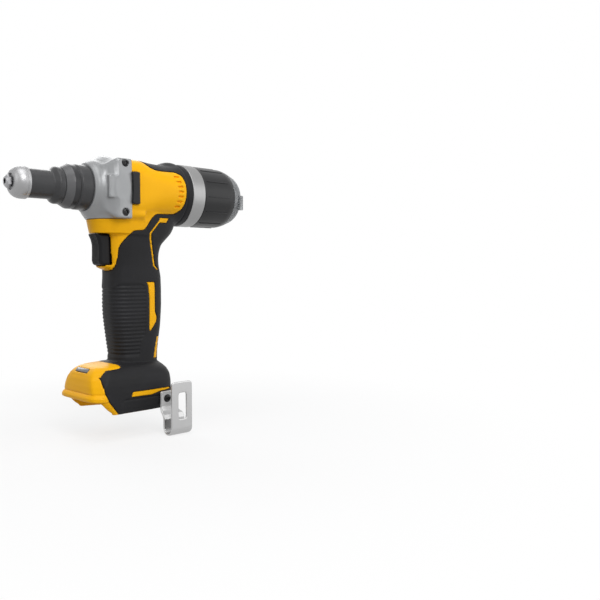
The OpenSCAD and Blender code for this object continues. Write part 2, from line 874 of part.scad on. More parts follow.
// Ball nut and its bearings
nut_ball_orbit = screw_r + fit + nut_ball_r;
nut_ball_xs = [nut_x0 + nut_tail / 2, nut_x1 - nut_tail / 2];
module ball_nut() {
    color("#85878a")
        difference() {
            union() {
                bar(nut_x0, nut_x1, nut_r);
                bar(thrust_x1, nut_flange_x1, nut_flange_r);
            }
            bar(nut_x0 - cut, nut_x1 + cut, screw_r + nut_bore_gap);
            for (x = nut_ball_xs)
                rotate([0, 90, 0])
                    rotate_extrude()
                        translate([nut_ball_orbit, x])
                            circle(r = nut_ball_r + fit, $fn = 32);
        }
}
module nut_balls() {
    color("silver")
        for (x = nut_ball_xs)
            balls(x, nut_ball_orbit, nut_ball_r, nut_ball_count);
}
washer_bore_r = nut_r + gap;
washer_r = bearing_bore_r - gap / 2;
module thrust_washer_front() {
    color("#7c7e81")
        ring(seat_x, seat_x + washer_t, washer_r, washer_bore_r);
}
module thrust_balls() {
    color("silver")
        balls(seat_x + washer_t + thrust_gap / 2, (washer_r + washer_bore_r) / 2, thrust_ball_r,
            thrust_ball_count);
}
module thrust_washer_rear() {
    color("#7c7e81")
        ring(thrust_x1 - washer_t, thrust_x1, nut_flange_r, nut_r);
}
module nut_bush() {
    color("#b08a4a")
        ring(nut_flange_x1 + gap, nut_x1, bearing_bore_r, nut_r + fit);
}
module planet_carrier() {
    color("#8a8c8f")
        union() {
            lathe([[nut_x1, carrier_bore_r], [nut_x1, nut_r], [body_x0, nut_r], [body_x0 + web, carrier_r],
                [carrier_x1, orbit_r + 2 * planet_pin_r], [carrier_x1, liner_r + 2 * gap],
                [carrier_x1 - carrier_plate_t, liner_r + 2 * gap],
                [carrier_x1 - carrier_plate_t, carrier_bore_r]]);
            for (i = [0:planet_count - 1])
                rotate([i * 360 / planet_count, 0, 0])
                    translate([0, 0, -orbit_r])
                        bar(carrier_x1 - cut, gear_x1, planet_pin_r);
        }
}
module sun_gear() {
    color("#a8863e")
        gear(sun_teeth, gear_x0, gear_x1, shaft_r);
}
module planet(index) {
    color("#96804a")
        rotate([index * 360 / planet_count, 0, 0])
            translate([0, 0, -orbit_r])
                rotate([180 / planet_teeth, 0, 0])
                    gear(planet_teeth, gear_x0, gear_x1, planet_pin_r + fit);
}
module planet_1() {
    planet(0);
}
module planet_2() {
    planet(1);
}
module planet_3() {
    planet(2);
}
module ring_gear() {
    color("#6c6e70")
        translate([gear_x0, 0, 0])
            rotate([0, 90, 0])
                difference() {
                    cylinder(h = gear_w, r = ring_gear_r);
                    translate([0, 0, -cut])
                        rotate(180 / ring_teeth)
                            linear_extrude(gear_w + 2 * cut)
                                polygon(gear_outline(ring_teeth, dedendum_share, addendum_share, -backlash));
                }
}
module gearbox_sleeve() {
    color("#9b9da0")
        ring(body_x0, plate_x1, sleeve_r, ring_gear_r);
}

// Motor
module motor_plate() {
    color("#86888b")
        ring(plate_x0, plate_x1, ring_gear_r, bearing_r);
}
module bearing(x0, x1) {
    mid_r = (shaft_r + bearing_r) / 2;
    ring(x0, x1, bearing_r, bearing_r - bearing_wall);
    ring(x0, x1, shaft_r + bearing_wall, shaft_r + fit);
    balls((x0 + x1) / 2, mid_r, bearing_wall / 2 - fit, 2 * pole_count);
}
module front_bearing() {
    color("silver")
        bearing(plate_x0, plate_x1);
}
module rear_bearing() {
    color("silver")
        bearing(bracket_x0, bracket_x1);
}
module stator_core() {
    tooth_len = sleeve_r - stator_back - stator_bore_r;
    color("#5b5d60")
        union() {
            ring(stator_x0, stator_x1, sleeve_r, sleeve_r - stator_back);
            for (i = [0:pole_count - 1])
                rotate([i * 360 / pole_count, 0, 0])
                    difference() {
                        translate([stator_x0, -tooth_w / 2, 0])
                            cube([stator_len, tooth_w, stator_bore_r + tooth_len + stator_back / 2]);
                        bar(stator_x0 - cut, stator_x1 + cut, stator_bore_r);
                    }
        }
}
module stator_coils() {
    outer = sleeve_r - stator_back - gap;
    inner = stator_bore_r + 2 * gap;
    color("#b8702e")
        for (i = [0:pole_count - 1])
            rotate([i * 360 / pole_count, 0, 0])
                intersection() {
                    bar(stator_x0 - coil_over, stator_x1 + coil_over, outer);
                    difference() {
                        translate([stator_x0 - coil_over + gap, -tooth_w / 2 - coil_w, inner])
                            cube([stator_len + 2 * (coil_over - gap), tooth_w + 2 * coil_w, outer]);
                        translate([stator_x0, -tooth_w / 2, inner - cut])
                            cube([stator_len, tooth_w, outer]);
                    }
                }
}
module rotor_core() {
    color("#4d4f52")
        ring(stator_x0, stator_x1, rotor_r - magnet_t, shaft_r);
}
module rotor_magnets() {
    color("#707275")
        ring(stator_x0, stator_x1, rotor_r, rotor_r - magnet_t);
}
module motor_shaft() {
    color("#b0b2b5")
        ring(shaft_x0, shaft_x1, shaft_r, liner_r + gap);
}
module cooling_fan() {
    blade_t = fan_t / 4;
    color("#3a3c40")
        difference() {
            union() {
                bar(fan_x0, fan_x1, shaft_r + bearing_wall);
                bar(fan_x0, fan_x0 + blade_t, fan_r);
                for (i = [0:fan_blades - 1])
                    rotate([i * 360 / fan_blades, 0, 0])
                        translate([fan_x0, -blade_t / 2, shaft_r + blade_t])
                            cube([fan_t, blade_t, fan_r - shaft_r - 2 * blade_t]);
            }
            bar(fan_x0 - cut, fan_x1 + cut, shaft_r);
        }
}
module rear_bracket() {
    color("#3f4144")
        ring(bracket_x0, bracket_x1, sleeve_r, bearing_r);
}

// Rear of the tool: rubber band, bayonet ring and mandrel collector
lug_count = 3;
lug_w_deg = 24;
lug_h = 2;
lug_t = 3;
lug_play_deg = 2;
neck_cup_r = cup_r - cup_wall - 2 * gap;
module rear_band() {
    color("#232325")
        ring(band_x0, ring_x0, band_r, cavity_r);
}
module sector(x0, x1, r, bore, from, to) {
    steps = 8;
    far = 2 * r;
    intersection() {
        ring(x0, x1, r, bore);
        translate([x0 - cut, 0, 0])
            rotate([90, 0, 90])
                linear_extrude(x1 - x0 + 2 * cut)
                    polygon(concat([[0, 0]], [for (i = [0:steps])
                        let (a = from + (to - from) * i / steps) far * [cos(a), sin(a)]]));
    }
}
slot_x1 = cup_x0 - lug_t;
slot_x0 = slot_x1 - lug_t - 2 * gap;
module rear_ring() {
    bore = neck_cup_r + gap;
    color("#a9abae")
        difference() {
            ring(ring_x0, cup_x0, ring_r, bore);
            bar(ring_x0 - cut, bracket_x1 + gap, cavity_r);
            for (i = [0:lug_count - 1]) {
                sector(slot_x0, slot_x1, bore + lug_h + gap, bore - cut,
                    i * 120 - lug_w_deg, i * 120 + twist_deg + lug_w_deg);
                sector(slot_x0, cup_x0 + cut, bore + lug_h + gap, bore - cut,
                    i * 120 + twist_deg - lug_w_deg / 2 - lug_play_deg, i * 120 + twist_deg + lug_w_deg);
            }
        }
}
module collector_cup() {
    rib_count = 24;
    rib_h = 0.5;
    neck_len = cup_x0 + gap - slot_x0 + lug_h / 2;
    color("#1d1d1f")
        union() {
            difference() {
                lathe([[cup_x0 + gap, neck_cup_r - cup_wall], [cup_x0 + gap, cup_r], [end_x0, cup_r],
                    [end_x0, end_r], [end_x0 - cup_wall, end_r], [end_x0 - cup_wall, neck_cup_r - cup_wall]]);
                for (i = [0:rib_count - 1])
                    rotate([i * 360 / rib_count, 0, 0])
                        translate([cup_x0 + cup_len / 5, -rib_h, cup_r - rib_h])
                            cube([cup_len, 2 * rib_h, cup_r]);
            }
            ring(cup_x0 + gap - neck_len, cup_x0 + gap + cut, neck_cup_r, neck_cup_r - cup_wall);
            for (i = [0:lug_count - 1])
                sector(slot_x0 + gap, slot_x1 - gap, neck_cup_r + lug_h, neck_cup_r - cut,
                    i * 120 - lug_w_deg / 2, i * 120 + lug_w_deg / 2);
        }
}
module collector_end() {
    rim = end_r - cup_wall;
    step = end_len / 3;
    color("#c9ced2", 0.5)
        difference() {
            lathe([[end_x0 - cup_wall, 0], [end_x0 - cup_wall, end_r], [end_x0 + step, end_r],
                [end_x0 + 2 * step, rim], [end_x1, rim - cup_wall], [end_x1, 0]]);
            bar(end_x0 - cup_wall - cut, end_x1 - cup_wall, rim - 2 * cup_wall);
            for (side = [-1, 1])
                translate([end_x1 - step, side * (end_r - cup_wall) / 2 - cup_wall, -end_r])
                    cube([step + cut, 2 * cup_wall, 2 * end_r]);
        }
}
module collector_seal() {
    color("#101012")
        ring(cup_x0 - cup_wall + gap, cup_x0 + gap, neck_cup_r - cup_wall, neck_cup_r - 2 * cup_wall);
}

// Small pieces on the housing
module side_bumpers() {
    color("#1f1f21")
        for (side = [-1, 1])
            bumper_block(side, 0);
}
module shell_screws() {
    color("#3a3a3c")
        for (p = shell_screw_places)
            across(p, grip_hw / 2, shell_screw_r);
}
module trigger() {
    waist = trigger_h / 8;
    color("#242426")
        union() {
            translate([0, trigger_hw, 0])
                rotate([90, 0, 0])
                    linear_extrude(2 * trigger_hw)
                        polygon([[trigger_front, -trigger_top], [trigger_rear, -trigger_top],
                            [trigger_rear, trigger_z0], [trigger_front + 2 * waist, trigger_z0],
                            [trigger_front + waist, trigger_z0 + waist],
                            [trigger_front + waist, trigger_z0 + trigger_h / 2]]);
            translate([0, 0, trigger_z0 + trigger_h / 2])
                bar(trigger_rear, trigger_rear + trigger_stem_len, trigger_stem_r);
        }
}
module trigger_switch() {
    color("#303236")
        difference() {
            translate([switch_x0, -switch_hw, switch_z0])
                cube([switch_len, 2 * switch_hw, switch_h]);
            translate([0, 0, trigger_z0 + trigger_h / 2])
                bar(switch_x0 - cut, trigger_rear + trigger_stem_len + trigger_travel + cut, trigger_stem_r + gap);
        }
}
module control_board() {
    board_len = channel_len;
    color("#1f5a36")
        union() {
            translate([foot_front + foot_round, -board_hw, floor_z])
                cube([board_len, 2 * board_hw, board_t]);
            translate([foot_front + 3 * foot_round, -board_hw / 2, floor_z + board_t])
                cube([board_len / 2, board_hw, board_room / 2]);
        }
}
led_len = 9;
led_hw = 11;
led_t = 2;
led_tilt = 35;
led_x = foot_front + foot_round;
led_z = foot_z - foot_round / 2;
module led_block(extra) {
    translate([led_x, 0, led_z])
        rotate([0, -led_tilt, 0])
            translate([-led_len / 2 - extra, -led_hw - extra, -led_t - extra])
                cube([led_len + 2 * extra, 2 * (led_hw + extra), 2 * led_t + extra]);
}
module led_lens() {
    color("#8f9396")
        led_block(0);
}
module led_seat() {
    led_block(fit);
}
blade_count = 4;
blade_pitch = 9;
blade_t = 1;
block_len = 24;
block_hw = 18;
module terminal_block() {
    color("#1b1b1d")
        difference() {
            translate([foot_front + channel_len - block_len, -block_hw, foot_bottom + lip_h + wall])
                cube([block_len, 2 * block_hw, channel_h - lip_h - wall]);
            blades();
        }
}
module blades() {
    for (i = [0:blade_count - 1])
        translate([foot_front + channel_len - block_len - wall, (i - (blade_count - 1) / 2) * blade_pitch
            - blade_t / 2, foot_bottom + lip_h + 2 * wall])
            cube([block_len - wall, blade_t, lip_h]);
}
module terminal_blades() {
    color("#c09a4a")
        blades();
}

// Belt hook: one strip bent to a J, with a narrow tab under its screw and a long slot in its outer leg
hook_bend = hook_gap / 2;
hook_slot_hw = 4.5;
hook_slot_len = 29;
module belt_hook() {
    outer_y = hook_y0 - hook_t - hook_gap;
    bottom = foot_bottom - hook_drop;
    centre_z = bottom + hook_bend + hook_t;
    upper = hook_screw_z + 2 * hook_head_r;
    color("#c3c5c7")
        difference() {
            union() {
                translate([hook_screw_x - hook_tab_w / 2, hook_y0 - hook_t, centre_z])
                    cube([hook_tab_w, hook_t, upper - centre_z]);
                translate([hook_x - hook_w / 2, outer_y - hook_t, centre_z])
                    cube([hook_w, hook_t, hook_leg - hook_bend - hook_t]);
                translate([hook_x - hook_w / 2, hook_y0 - hook_t - hook_bend, centre_z])
                    intersection() {
                        ring(0, hook_w, hook_bend + hook_t, hook_bend);
                        translate([-cut, -hook_gap, -hook_gap])
                            cube([hook_w + 2 * cut, 2 * hook_gap, hook_gap]);
                    }
            }
            translate([hook_screw_x, hook_y0 + cut, hook_screw_z])
                rotate([90, 0, 0])
                    cylinder(h = hook_t + 2 * cut, r = hook_screw_r);
            translate([hook_x - hook_slot_hw, outer_y - hook_t - cut, centre_z + hook_t])
                cube([2 * hook_slot_hw, hook_t + 2 * cut, hook_slot_len]);
        }
}
module hook_screw() {
    head_y = hook_y0 - hook_t;
    color("#29292b")
        union() {
            translate([hook_screw_x, head_y, hook_screw_z])
                rotate([90, 0, 0])
                    cylinder(h = hook_head_t, r = hook_head_r);
            translate([hook_screw_x, head_y, hook_screw_z])
                rotate([-90, 0, 0])
                    cylinder(h = hook_boss_len + hook_t - cut, r = hook_screw_r - fit);
        }
}

nosepiece();
nose_cap();
nose_tube();
nose_adapter();
collar_nut();
gear_case();
flange_screws();
jaw_case();
jaw_1();
jaw_2();
jaw_3();
jaw_pusher();
jaw_spring();
jaw_lock_nut();
guide_pins();
ball_screw();
mandrel_tube();
ball_nut();
nut_balls();
thrust_washer_front();
thrust_balls();
thrust_washer_rear();
nut_bush();
planet_carrier();
sun_gear();
planet_1();
planet_2();
planet_3();
ring_gear();
gearbox_sleeve();
motor_plate();
front_bearing();
stator_core();
stator_coils();
rotor_core();
rotor_magnets();
motor_shaft();
cooling_fan();
rear_bearing();
rear_bracket();
rear_band();
rear_ring();
collector_cup();
collector_end();
collector_seal();
left_housing();
right_housing();
left_grip();
right_grip();
side_bumpers();
shell_screws();
trigger();
trigger_switch();
control_board();
led_lens();
terminal_block();
terminal_blades();
belt_hook();
hook_screw();
hook_inserts();
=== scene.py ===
import json
import math
import bpy
import bmesh
import numpy as np
from mathutils import Matrix, Vector

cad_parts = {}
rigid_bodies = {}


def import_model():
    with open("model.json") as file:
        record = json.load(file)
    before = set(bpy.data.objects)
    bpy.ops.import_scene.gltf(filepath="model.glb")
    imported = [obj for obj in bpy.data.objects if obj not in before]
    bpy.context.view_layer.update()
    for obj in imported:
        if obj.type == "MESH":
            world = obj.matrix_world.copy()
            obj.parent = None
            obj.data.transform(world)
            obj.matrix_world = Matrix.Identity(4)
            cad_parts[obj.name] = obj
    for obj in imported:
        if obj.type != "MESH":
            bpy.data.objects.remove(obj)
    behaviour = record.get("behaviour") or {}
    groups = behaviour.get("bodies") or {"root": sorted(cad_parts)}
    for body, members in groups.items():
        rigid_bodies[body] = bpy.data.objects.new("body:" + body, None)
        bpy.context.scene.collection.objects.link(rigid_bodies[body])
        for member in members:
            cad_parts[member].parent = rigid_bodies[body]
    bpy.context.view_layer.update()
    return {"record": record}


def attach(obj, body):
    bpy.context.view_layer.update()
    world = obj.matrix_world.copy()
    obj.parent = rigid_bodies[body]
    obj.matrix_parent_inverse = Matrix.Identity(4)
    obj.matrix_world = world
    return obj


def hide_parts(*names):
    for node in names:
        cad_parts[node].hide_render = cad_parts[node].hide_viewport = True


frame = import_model()

# Camera: a long lens, slightly above the tool's foot and turned 45 degrees to its left side.
# Its place and angle are worked out from the round ring at the rear and the slopes of the foot.
camera_data = bpy.data.cameras.new("camera")
camera_data.lens = 42.0
camera_data.sensor_width = 36.0
camera_data.clip_start = 0.01
camera = bpy.data.objects.new("camera", camera_data)
camera.location = (-0.2565134, -0.6270656, -0.0774312)
camera.rotation_euler = (math.radians(87.4), 0, math.radians(-45))
bpy.context.collection.objects.link(camera)
bpy.context.scene.camera = camera
bpy.context.scene.view_settings.view_transform = "Standard"


# Stage: a pale plain floor under the lowest point of the belt hook, and a white surround.
# The surround is white to the camera, to gloss and to clear plastic, and dimmer as a light.
def node_material(name):
    """A new material, with its nodes, its links and its shader."""
    material = bpy.data.materials.new(name)
    material.use_nodes = True
    tree = material.node_tree
    return material, tree.nodes, tree.links, tree.nodes["Principled BSDF"]


def feed(links, socket, value):
    """Links another socket to this one, or sets it to a plain value."""
    if isinstance(value, bpy.types.NodeSocket):
        links.new(value, socket)
    else:
        socket.default_value = value


def math_node(nodes, links, operation, *values):
    node = nodes.new("ShaderNodeMath")
    node.operation = operation
    for socket, value in zip(node.inputs, values):
        feed(links, socket, value)
    return node.outputs[0]


def mix_colour(nodes, links, factor, first, second):
    mix = nodes.new("ShaderNodeMix")
    mix.data_type = "RGBA"
    links.new(factor, mix.inputs["Factor"])
    feed(links, mix.inputs[6], first)
    feed(links, mix.inputs[7], second)
    return mix.outputs[2]


def white_to_camera(nodes, links):
    """1 for the rays that see the white surround, 0 for bounced light."""
    path = nodes.new("ShaderNodeLightPath")
    seen = math_node(nodes, links, "MAXIMUM", path.outputs["Is Camera Ray"], path.outputs["Is Glossy Ray"])
    return math_node(nodes, links, "MAXIMUM", seen, path.outputs["Is Transmission Ray"])


def put_in_scene(name, data):
    piece = bpy.data.objects.new(name, data)
    bpy.context.collection.objects.link(piece)
    return piece


world = bpy.data.worlds.new("studio")
world.use_nodes = True
bpy.context.scene.world = world
nodes, links = world.node_tree.nodes, world.node_tree.links
dim_sky = nodes["Background"]
dim_sky.inputs["Color"].default_value = (0.95, 0.97, 1.0, 1)
dim_sky.inputs["Strength"].default_value = 0.33
white_sky = nodes.new("ShaderNodeBackground")
white_sky.inputs["Color"].default_value = (1, 1, 1, 1)
white_sky.inputs["Strength"].default_value = 1.0
sky_mix = nodes.new("ShaderNodeMixShader")
links.new(white_to_camera(nodes, links), sky_mix.inputs[0])
links.new(dim_sky.outputs[0], sky_mix.inputs[1])
links.new(white_sky.outputs[0], sky_mix.inputs[2])
links.new(sky_mix.outputs[0], nodes["World Output"].inputs["Surface"])

floor_z = -0.2431
floor_half = 4
floor_mesh = bpy.data.meshes.new("floor")
floor_mesh.from_pydata(
    [(sx * floor_half, sy * floor_half, floor_z) for sx, sy in ((-1, -1), (1, -1), (1, 1), (-1, 1))],
    [], [(0, 1, 2, 3)])
floor = put_in_scene("floor", floor_mesh)
floor_paper, nodes, links, bsdf = node_material("floor_paper")
bsdf.inputs["Roughness"].default_value = 0.9
paper_to_light, paper_to_camera = (0.45, 0.45, 0.45, 1), (0.8, 0.8, 0.8, 1)
paper = mix_colour(nodes, links, white_to_camera(nodes, links), paper_to_light, paper_to_camera)
links.new(paper, bsdf.inputs["Base Color"])
# The floor glows white away from the tool and lets its shadow show beside it
shadow_middle, shadow_near, shadow_far, shadow_glow = (0.11, 0, floor_z), 0.12, 0.48, 0.76
coords = nodes.new("ShaderNodeTexCoord")
away = nodes.new("ShaderNodeVectorMath")
away.operation = "DISTANCE"
away.inputs[1].default_value = shadow_middle
links.new(coords.outputs["Object"], away.inputs[0])
fade = nodes.new("ShaderNodeMapRange")
fade.interpolation_type = "SMOOTHSTEP"
fade.inputs["From Min"].default_value = shadow_near
fade.inputs["From Max"].default_value = shadow_far
fade.inputs["To Min"].default_value = shadow_glow
links.new(away.outputs["Value"], fade.inputs["Value"])
share = math_node(nodes, links, "MULTIPLY", fade.outputs["Result"], white_to_camera(nodes, links))
glow = nodes.new("ShaderNodeEmission")
floor_mix = nodes.new("ShaderNodeMixShader")
links.new(share, floor_mix.inputs[0])
links.new(bsdf.outputs[0], floor_mix.inputs[1])
links.new(glow.outputs[0], floor_mix.inputs[2])
links.new(floor_mix.outputs[0], nodes["Material Output"].inputs["Surface"])
floor_mesh.materials.append(floor_paper)


# Lamps: five soft disks round the tool, as in a plain product studio.
# The key stands high on the viewer's side; the others open up the front, the top and the back.
def soft_light(name, place, aim, size, power):
    data = bpy.data.lights.new(name, "AREA")
    data.shape = "DISK"
    data.size = size
    data.energy = power
    lamp = put_in_scene(name, data)
    lamp.location = place
    lamp.rotation_euler = (Vector(aim) - Vector(place)).to_track_quat("-Z", "Y").to_euler()


soft_light("key", (-0.12, -1.0, 0.62), (0.11, 0, -0.08), size=0.6, power=6.6)
soft_light("fill", (0.8, -0.8, 0.12), (0.12, 0, -0.1), size=0.9, power=2.2)
soft_light("front", (-0.9, -0.1, 0.4), (0.08, 0, -0.08), size=0.7, power=1.3)
soft_light("top", (-0.05, -0.25, 1.0), (0.1, 0, -0.05), size=0.8, power=4.3)
soft_light("back", (0.35, 1.0, 0.55), (0.11, 0, -0.08), size=0.9, power=5.0)


# Nosepiece: a hardened steel tip that takes the rivet's mandrel, screwed into the nose cap.
# Turned, with a hexagon for the spanner and a dark relief groove behind it.
MM = 0.001


def rounded_corners(points, steps=5):
    """Points are (x, r, fillet); each corner with a fillet becomes an arc."""
    out = []
    for i, (x, r, fillet) in enumerate(points):
        here = Vector((x, r))
        if fillet <= 0:
            out.append((x, r))
            continue
        before = Vector(points[i - 1][:2]) - here
        after = Vector(points[(i + 1) % len(points)][:2]) - here
        reach = min(fillet, before.length * 0.49, after.length * 0.49)
        a, b = here + before.normalized() * reach, here + after.normalized() * reach
        for k in range(steps + 1):
            t = k / steps
            p = a * (1 - t) ** 2 + here * 2 * t * (1 - t) + b * t ** 2
            out.append((p.x, p.y))
    return out


def smooth_by_angle(mesh, degrees=32):
    mesh.polygons.foreach_set("use_smooth", [True] * len(mesh.polygons))
    mesh.set_sharp_from_angle(angle=math.radians(degrees))


def turned(name, points, segments=128, hexagon=None, place=None):
    """A closed solid turned about X from (x, r, fillet) points, in millimetres.

    With hexagon, (last x, flat), the part in front of that x has six flats.
    """
    sixth = math.pi / 3
    verts, rows = [], []
    for x, r in rounded_corners(points):
        rows.append(range(len(verts), len(verts) + segments))
        for k in range(segments):
            angle = 2 * math.pi * k / segments
            radius = r
            if hexagon and x <= hexagon[0]:
                radius = min(r, hexagon[1] / math.cos((angle + sixth / 2) % sixth - sixth / 2))
            verts.append((x * MM, radius * math.cos(angle) * MM, radius * math.sin(angle) * MM))
    faces = []
    for a, b in zip(rows, rows[1:] + rows[:1]):
        for k in range(segments):
            after = (k + 1) % segments
            faces.append((a[k], a[after], b[after], b[k]))
    mesh = bpy.data.meshes.new(name)
    mesh.from_pydata(verts, [], faces)
    if place is not None:
        mesh.transform(place)
    work = bmesh.new()
    work.from_mesh(mesh)
    bmesh.ops.remove_doubles(work, verts=work.verts, dist=1e-7)
    bmesh.ops.dissolve_degenerate(work, edges=work.edges, dist=1e-8)
    bmesh.ops.recalc_face_normals(work, faces=work.faces)
    work.to_mesh(mesh)
    work.free()
    smooth_by_angle(mesh)
    return put_in_scene(name, mesh)


def shader_group(name, inputs, outputs):
    group = bpy.data.node_groups.new(name, "ShaderNodeTree")
    for label, kind, value in inputs:
        group.interface.new_socket(label, in_out="INPUT", socket_type=kind).default_value = value
    for label, kind in outputs:
        group.interface.new_socket(label, in_out="OUTPUT", socket_type=kind)
    return group, group.nodes.new("NodeGroupInput"), group.nodes.new("NodeGroupOutput")


def group_node(nodes, group, **values):
    node = nodes.new("ShaderNodeGroup")
    node.node_tree = group
    for label, value in values.items():
        node.inputs[label].default_value = value
    return node


# Tool marks of a lathe: fine rings across the axis, in height and in gloss
lathe_marks, g_in, g_out = shader_group(
    "lathe_marks",
    [("Rings", "NodeSocketFloat", 1500.0), ("Gloss", "NodeSocketFloat", 0.3),
     ("Spread", "NodeSocketFloat", 0.1)],
    [("Height", "NodeSocketFloat"), ("Roughness", "NodeSocketFloat")])
nodes, links = lathe_marks.nodes, lathe_marks.links
coords = nodes.new("ShaderNodeTexCoord")
stretch = nodes.new("ShaderNodeMapping")
stretch.inputs["Scale"].default_value = (1, 0.015, 0.015)
links.new(coords.outputs["Object"], stretch.inputs["Vector"])
rings = nodes.new("ShaderNodeTexNoise")
rings.inputs["Detail"].default_value = 4
links.new(stretch.outputs["Vector"], rings.inputs["Vector"])
links.new(g_in.outputs["Rings"], rings.inputs["Scale"])
from_mean = math_node(nodes, links, "SUBTRACT", rings.outputs["Fac"], 0.5)
gloss = math_node(nodes, links, "MULTIPLY_ADD", from_mean, g_in.outputs["Spread"], g_in.outputs["Gloss"])
links.new(rings.outputs["Fac"], g_out.inputs["Height"])
links.new(gloss, g_out.inputs["Roughness"])


def bump_from(nodes, links, bsdf, height, depth):
    bump = nodes.new("ShaderNodeBump")
    bump.inputs["Strength"].default_value = depth
    bump.inputs["Distance"].default_value = 0.2 * MM
    links.new(height, bump.inputs["Height"])
    links.new(bump.outputs["Normal"], bsdf.inputs["Normal"])


def turned_metal(name, colour, gloss, spread=0.1, rings=1500, depth=0.12, metallic=1.0, level=0.5):
    material, nodes, links, bsdf = node_material(name)
    marks = group_node(nodes, lathe_marks, Rings=rings, Gloss=gloss, Spread=spread)
    bsdf.inputs["Base Color"].default_value = (*colour, 1)
    bsdf.inputs["Metallic"].default_value = metallic
    bsdf.inputs["Specular IOR Level"].default_value = level
    links.new(marks.outputs["Roughness"], bsdf.inputs["Roughness"])
    bump_from(nodes, links, bsdf, marks.outputs["Height"], depth)
    return material


def dress(piece, material, body, slot, *nodes_replaced):
    """Gives a piece its finish, and says which body it rides and which CAD nodes it stands for."""
    piece.data.materials.clear()
    piece.data.materials.append(material)
    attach(piece, body)
    if nodes_replaced:
        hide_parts(*nodes_replaced)


tip_steel = turned_metal("tip_steel", (0.34, 0.34, 0.35), gloss=0.28)
tip = turned("nose_tip", [
    (0, 2.4, 0.3), (0, 3.9, 0.4), (1.3, 5.6, 0.2), (1.3, 6.2, 0.1), (4.2, 6.2, 0.2), (4.2, 4.7, 0.1),
    (7.0, 4.7, 0.1), (7.0, 4.55, 0), (19.6, 4.55, 0), (19.6, 2.4, 0)], segments=96, hexagon=(4.25, 5.3))
dress(tip, tip_steel, "housing", "steel", "nosepiece")

# Nose cap: the bright domed nut that holds the nosepiece on the nose tube.
# Turned from steel bar, satin polished, with a shallow ring groove in front of its rim.
cap_steel = turned_metal("cap_steel", (0.34, 0.34, 0.345), gloss=0.42, spread=0.12, rings=700, depth=0.04)
dome_front, dome_long, dome_mouth, dome_rise = 4.9, 9.6, 7.6, 7.2
dome = []
for degrees in range(0, 91, 6):
    a = math.radians(degrees)
    dome.append((dome_front + dome_long * (1 - math.cos(a)), dome_mouth + dome_rise * math.sin(a), 0))
cap = turned("nose_dome", [(7.2, 4.65, 0), (7.2, 6.9, 0.3)] + dome + [
    (15.6, 14.8, 0.1), (15.9, 14.45, 0.1), (16.4, 14.45, 0.1), (16.7, 14.8, 0.1), (18.6, 14.8, 0.4),
    (18.6, 11.85, 0), (14, 11.85, 0), (14, 4.65, 0)])
dress(cap, cap_steel, "housing", "polished_steel", "nose_cap")

# Nose: a black steel tube with one step, a black adapter behind it and the collar nut that clamps it.
# Each is turned and blackened, with a broad chamfer on its front edge that catches the light.
black_steel = turned_metal(
    "black_steel", (0.056, 0.056, 0.058),
    gloss=0.3, spread=0.1, rings=500, depth=0.08, metallic=0.0, level=0.2)
tube = turned("nose_barrel", [
    (18.6, 13.4, 0.2), (41.0, 13.4, 0.8), (44.0, 16.8, 0.6), (45.4, 17.4, 0.5), (49.4, 17.4, 0.4),
    (50.1, 16.8, 0.2), (50.2, 13.45, 0), (80, 13.4, 0), (80, 10.35, 0), (14.1, 10.35, 0), (14.1, 11.75, 0),
    (18.6, 11.75, 0)])
dress(tube, black_steel, "housing", "black_steel", "nose_tube")
adapter = turned("nose_step", [
    (50.3, 13.5, 0), (50.3, 17.2, 0.3), (56.8, 20.8, 0.4), (57.6, 21.1, 0.3), (62.2, 21.1, 0.3),
    (62.8, 20.5, 0.1), (62.8, 17, 0), (80, 17, 0), (80, 13.5, 0)])
# Painted highlight: the adapter's cone is coloured a lighter grey than the land behind it, standing in for
# the light that falls on the cone
blackened, painted_highlight_grey = (0.036, 0.036, 0.038), (0.115, 0.115, 0.118)
painted_lit_cone_steel = turned_metal(
    "painted_lit_cone_steel", blackened,
    gloss=0.3, spread=0.12, rings=700, depth=0.15, metallic=0.0, level=0.25)
nodes, links = painted_lit_cone_steel.node_tree.nodes, painted_lit_cone_steel.node_tree.links
coords = nodes.new("ShaderNodeTexCoord")
axes = nodes.new("ShaderNodeSeparateXYZ")
links.new(coords.outputs["Object"], axes.inputs["Vector"])
on_cone = nodes.new("ShaderNodeMapRange")
on_cone.inputs["From Min"].default_value = 57.4 * MM
on_cone.inputs["From Max"].default_value = 56.9 * MM
links.new(axes.outputs["X"], on_cone.inputs["Value"])
# The cone's colour is mixed towards the lighter grey of the painted highlight
cone_painted_highlight = mix_colour(nodes, links, on_cone.outputs["Result"], (*blackened, 1), (*painted_highlight_grey, 1))
links.new(cone_painted_highlight, nodes["Principled BSDF"].inputs["Base Color"])
dress(adapter, painted_lit_cone_steel, "housing", "black_steel", "nose_adapter")
collar = turned("clamp_collar", [
    (62.9, 17.05, 0), (62.9, 20.0, 0.3), (65.0, 21.5, 0.6), (74.9, 21.8, 0.5), (75.6, 21.2, 0.3),
    (75.6, 17.05, 0)])
dress(collar, black_steel, "housing", "black_steel", "collar_nut")


# Gear case: an aluminium casting, blasted grey, that carries the thrust bearing and the nose.
# Its round nose swells twice, a low square boss stands on each side, and a square flange is behind.
def grid(spans, steps):
    axes = [np.arange(lo, hi + s / 2, s, dtype=np.float32) for (lo, hi), s in zip(spans, steps)]
    return np.meshgrid(*axes, indexing="ij", sparse=True)


def soft_max(a, b, k):
    """The greater of two fields, with the crease between them rounded over about k millimetres."""
    t = np.clip(0.5 + 0.5 * (a - b) / k, 0, 1)
    return b + (a - b) * t + k * t * (1 - t)


def soft_min(a, b, k):
    return -soft_max(-a, -b, k)


def block(x, y, z, low, high, fillet):
    """Distance to a box with rounded edges."""
    out = []
    for q, lo, hi in zip((x, y, z), low, high):
        out.append(np.abs(q - (lo + hi) / 2) - (hi - lo) / 2 + fillet)
    far = np.sqrt(sum(np.maximum(d, 0) ** 2 for d in out))
    return far + np.minimum(np.maximum(np.maximum(out[0], out[1]), out[2]), 0) - fillet


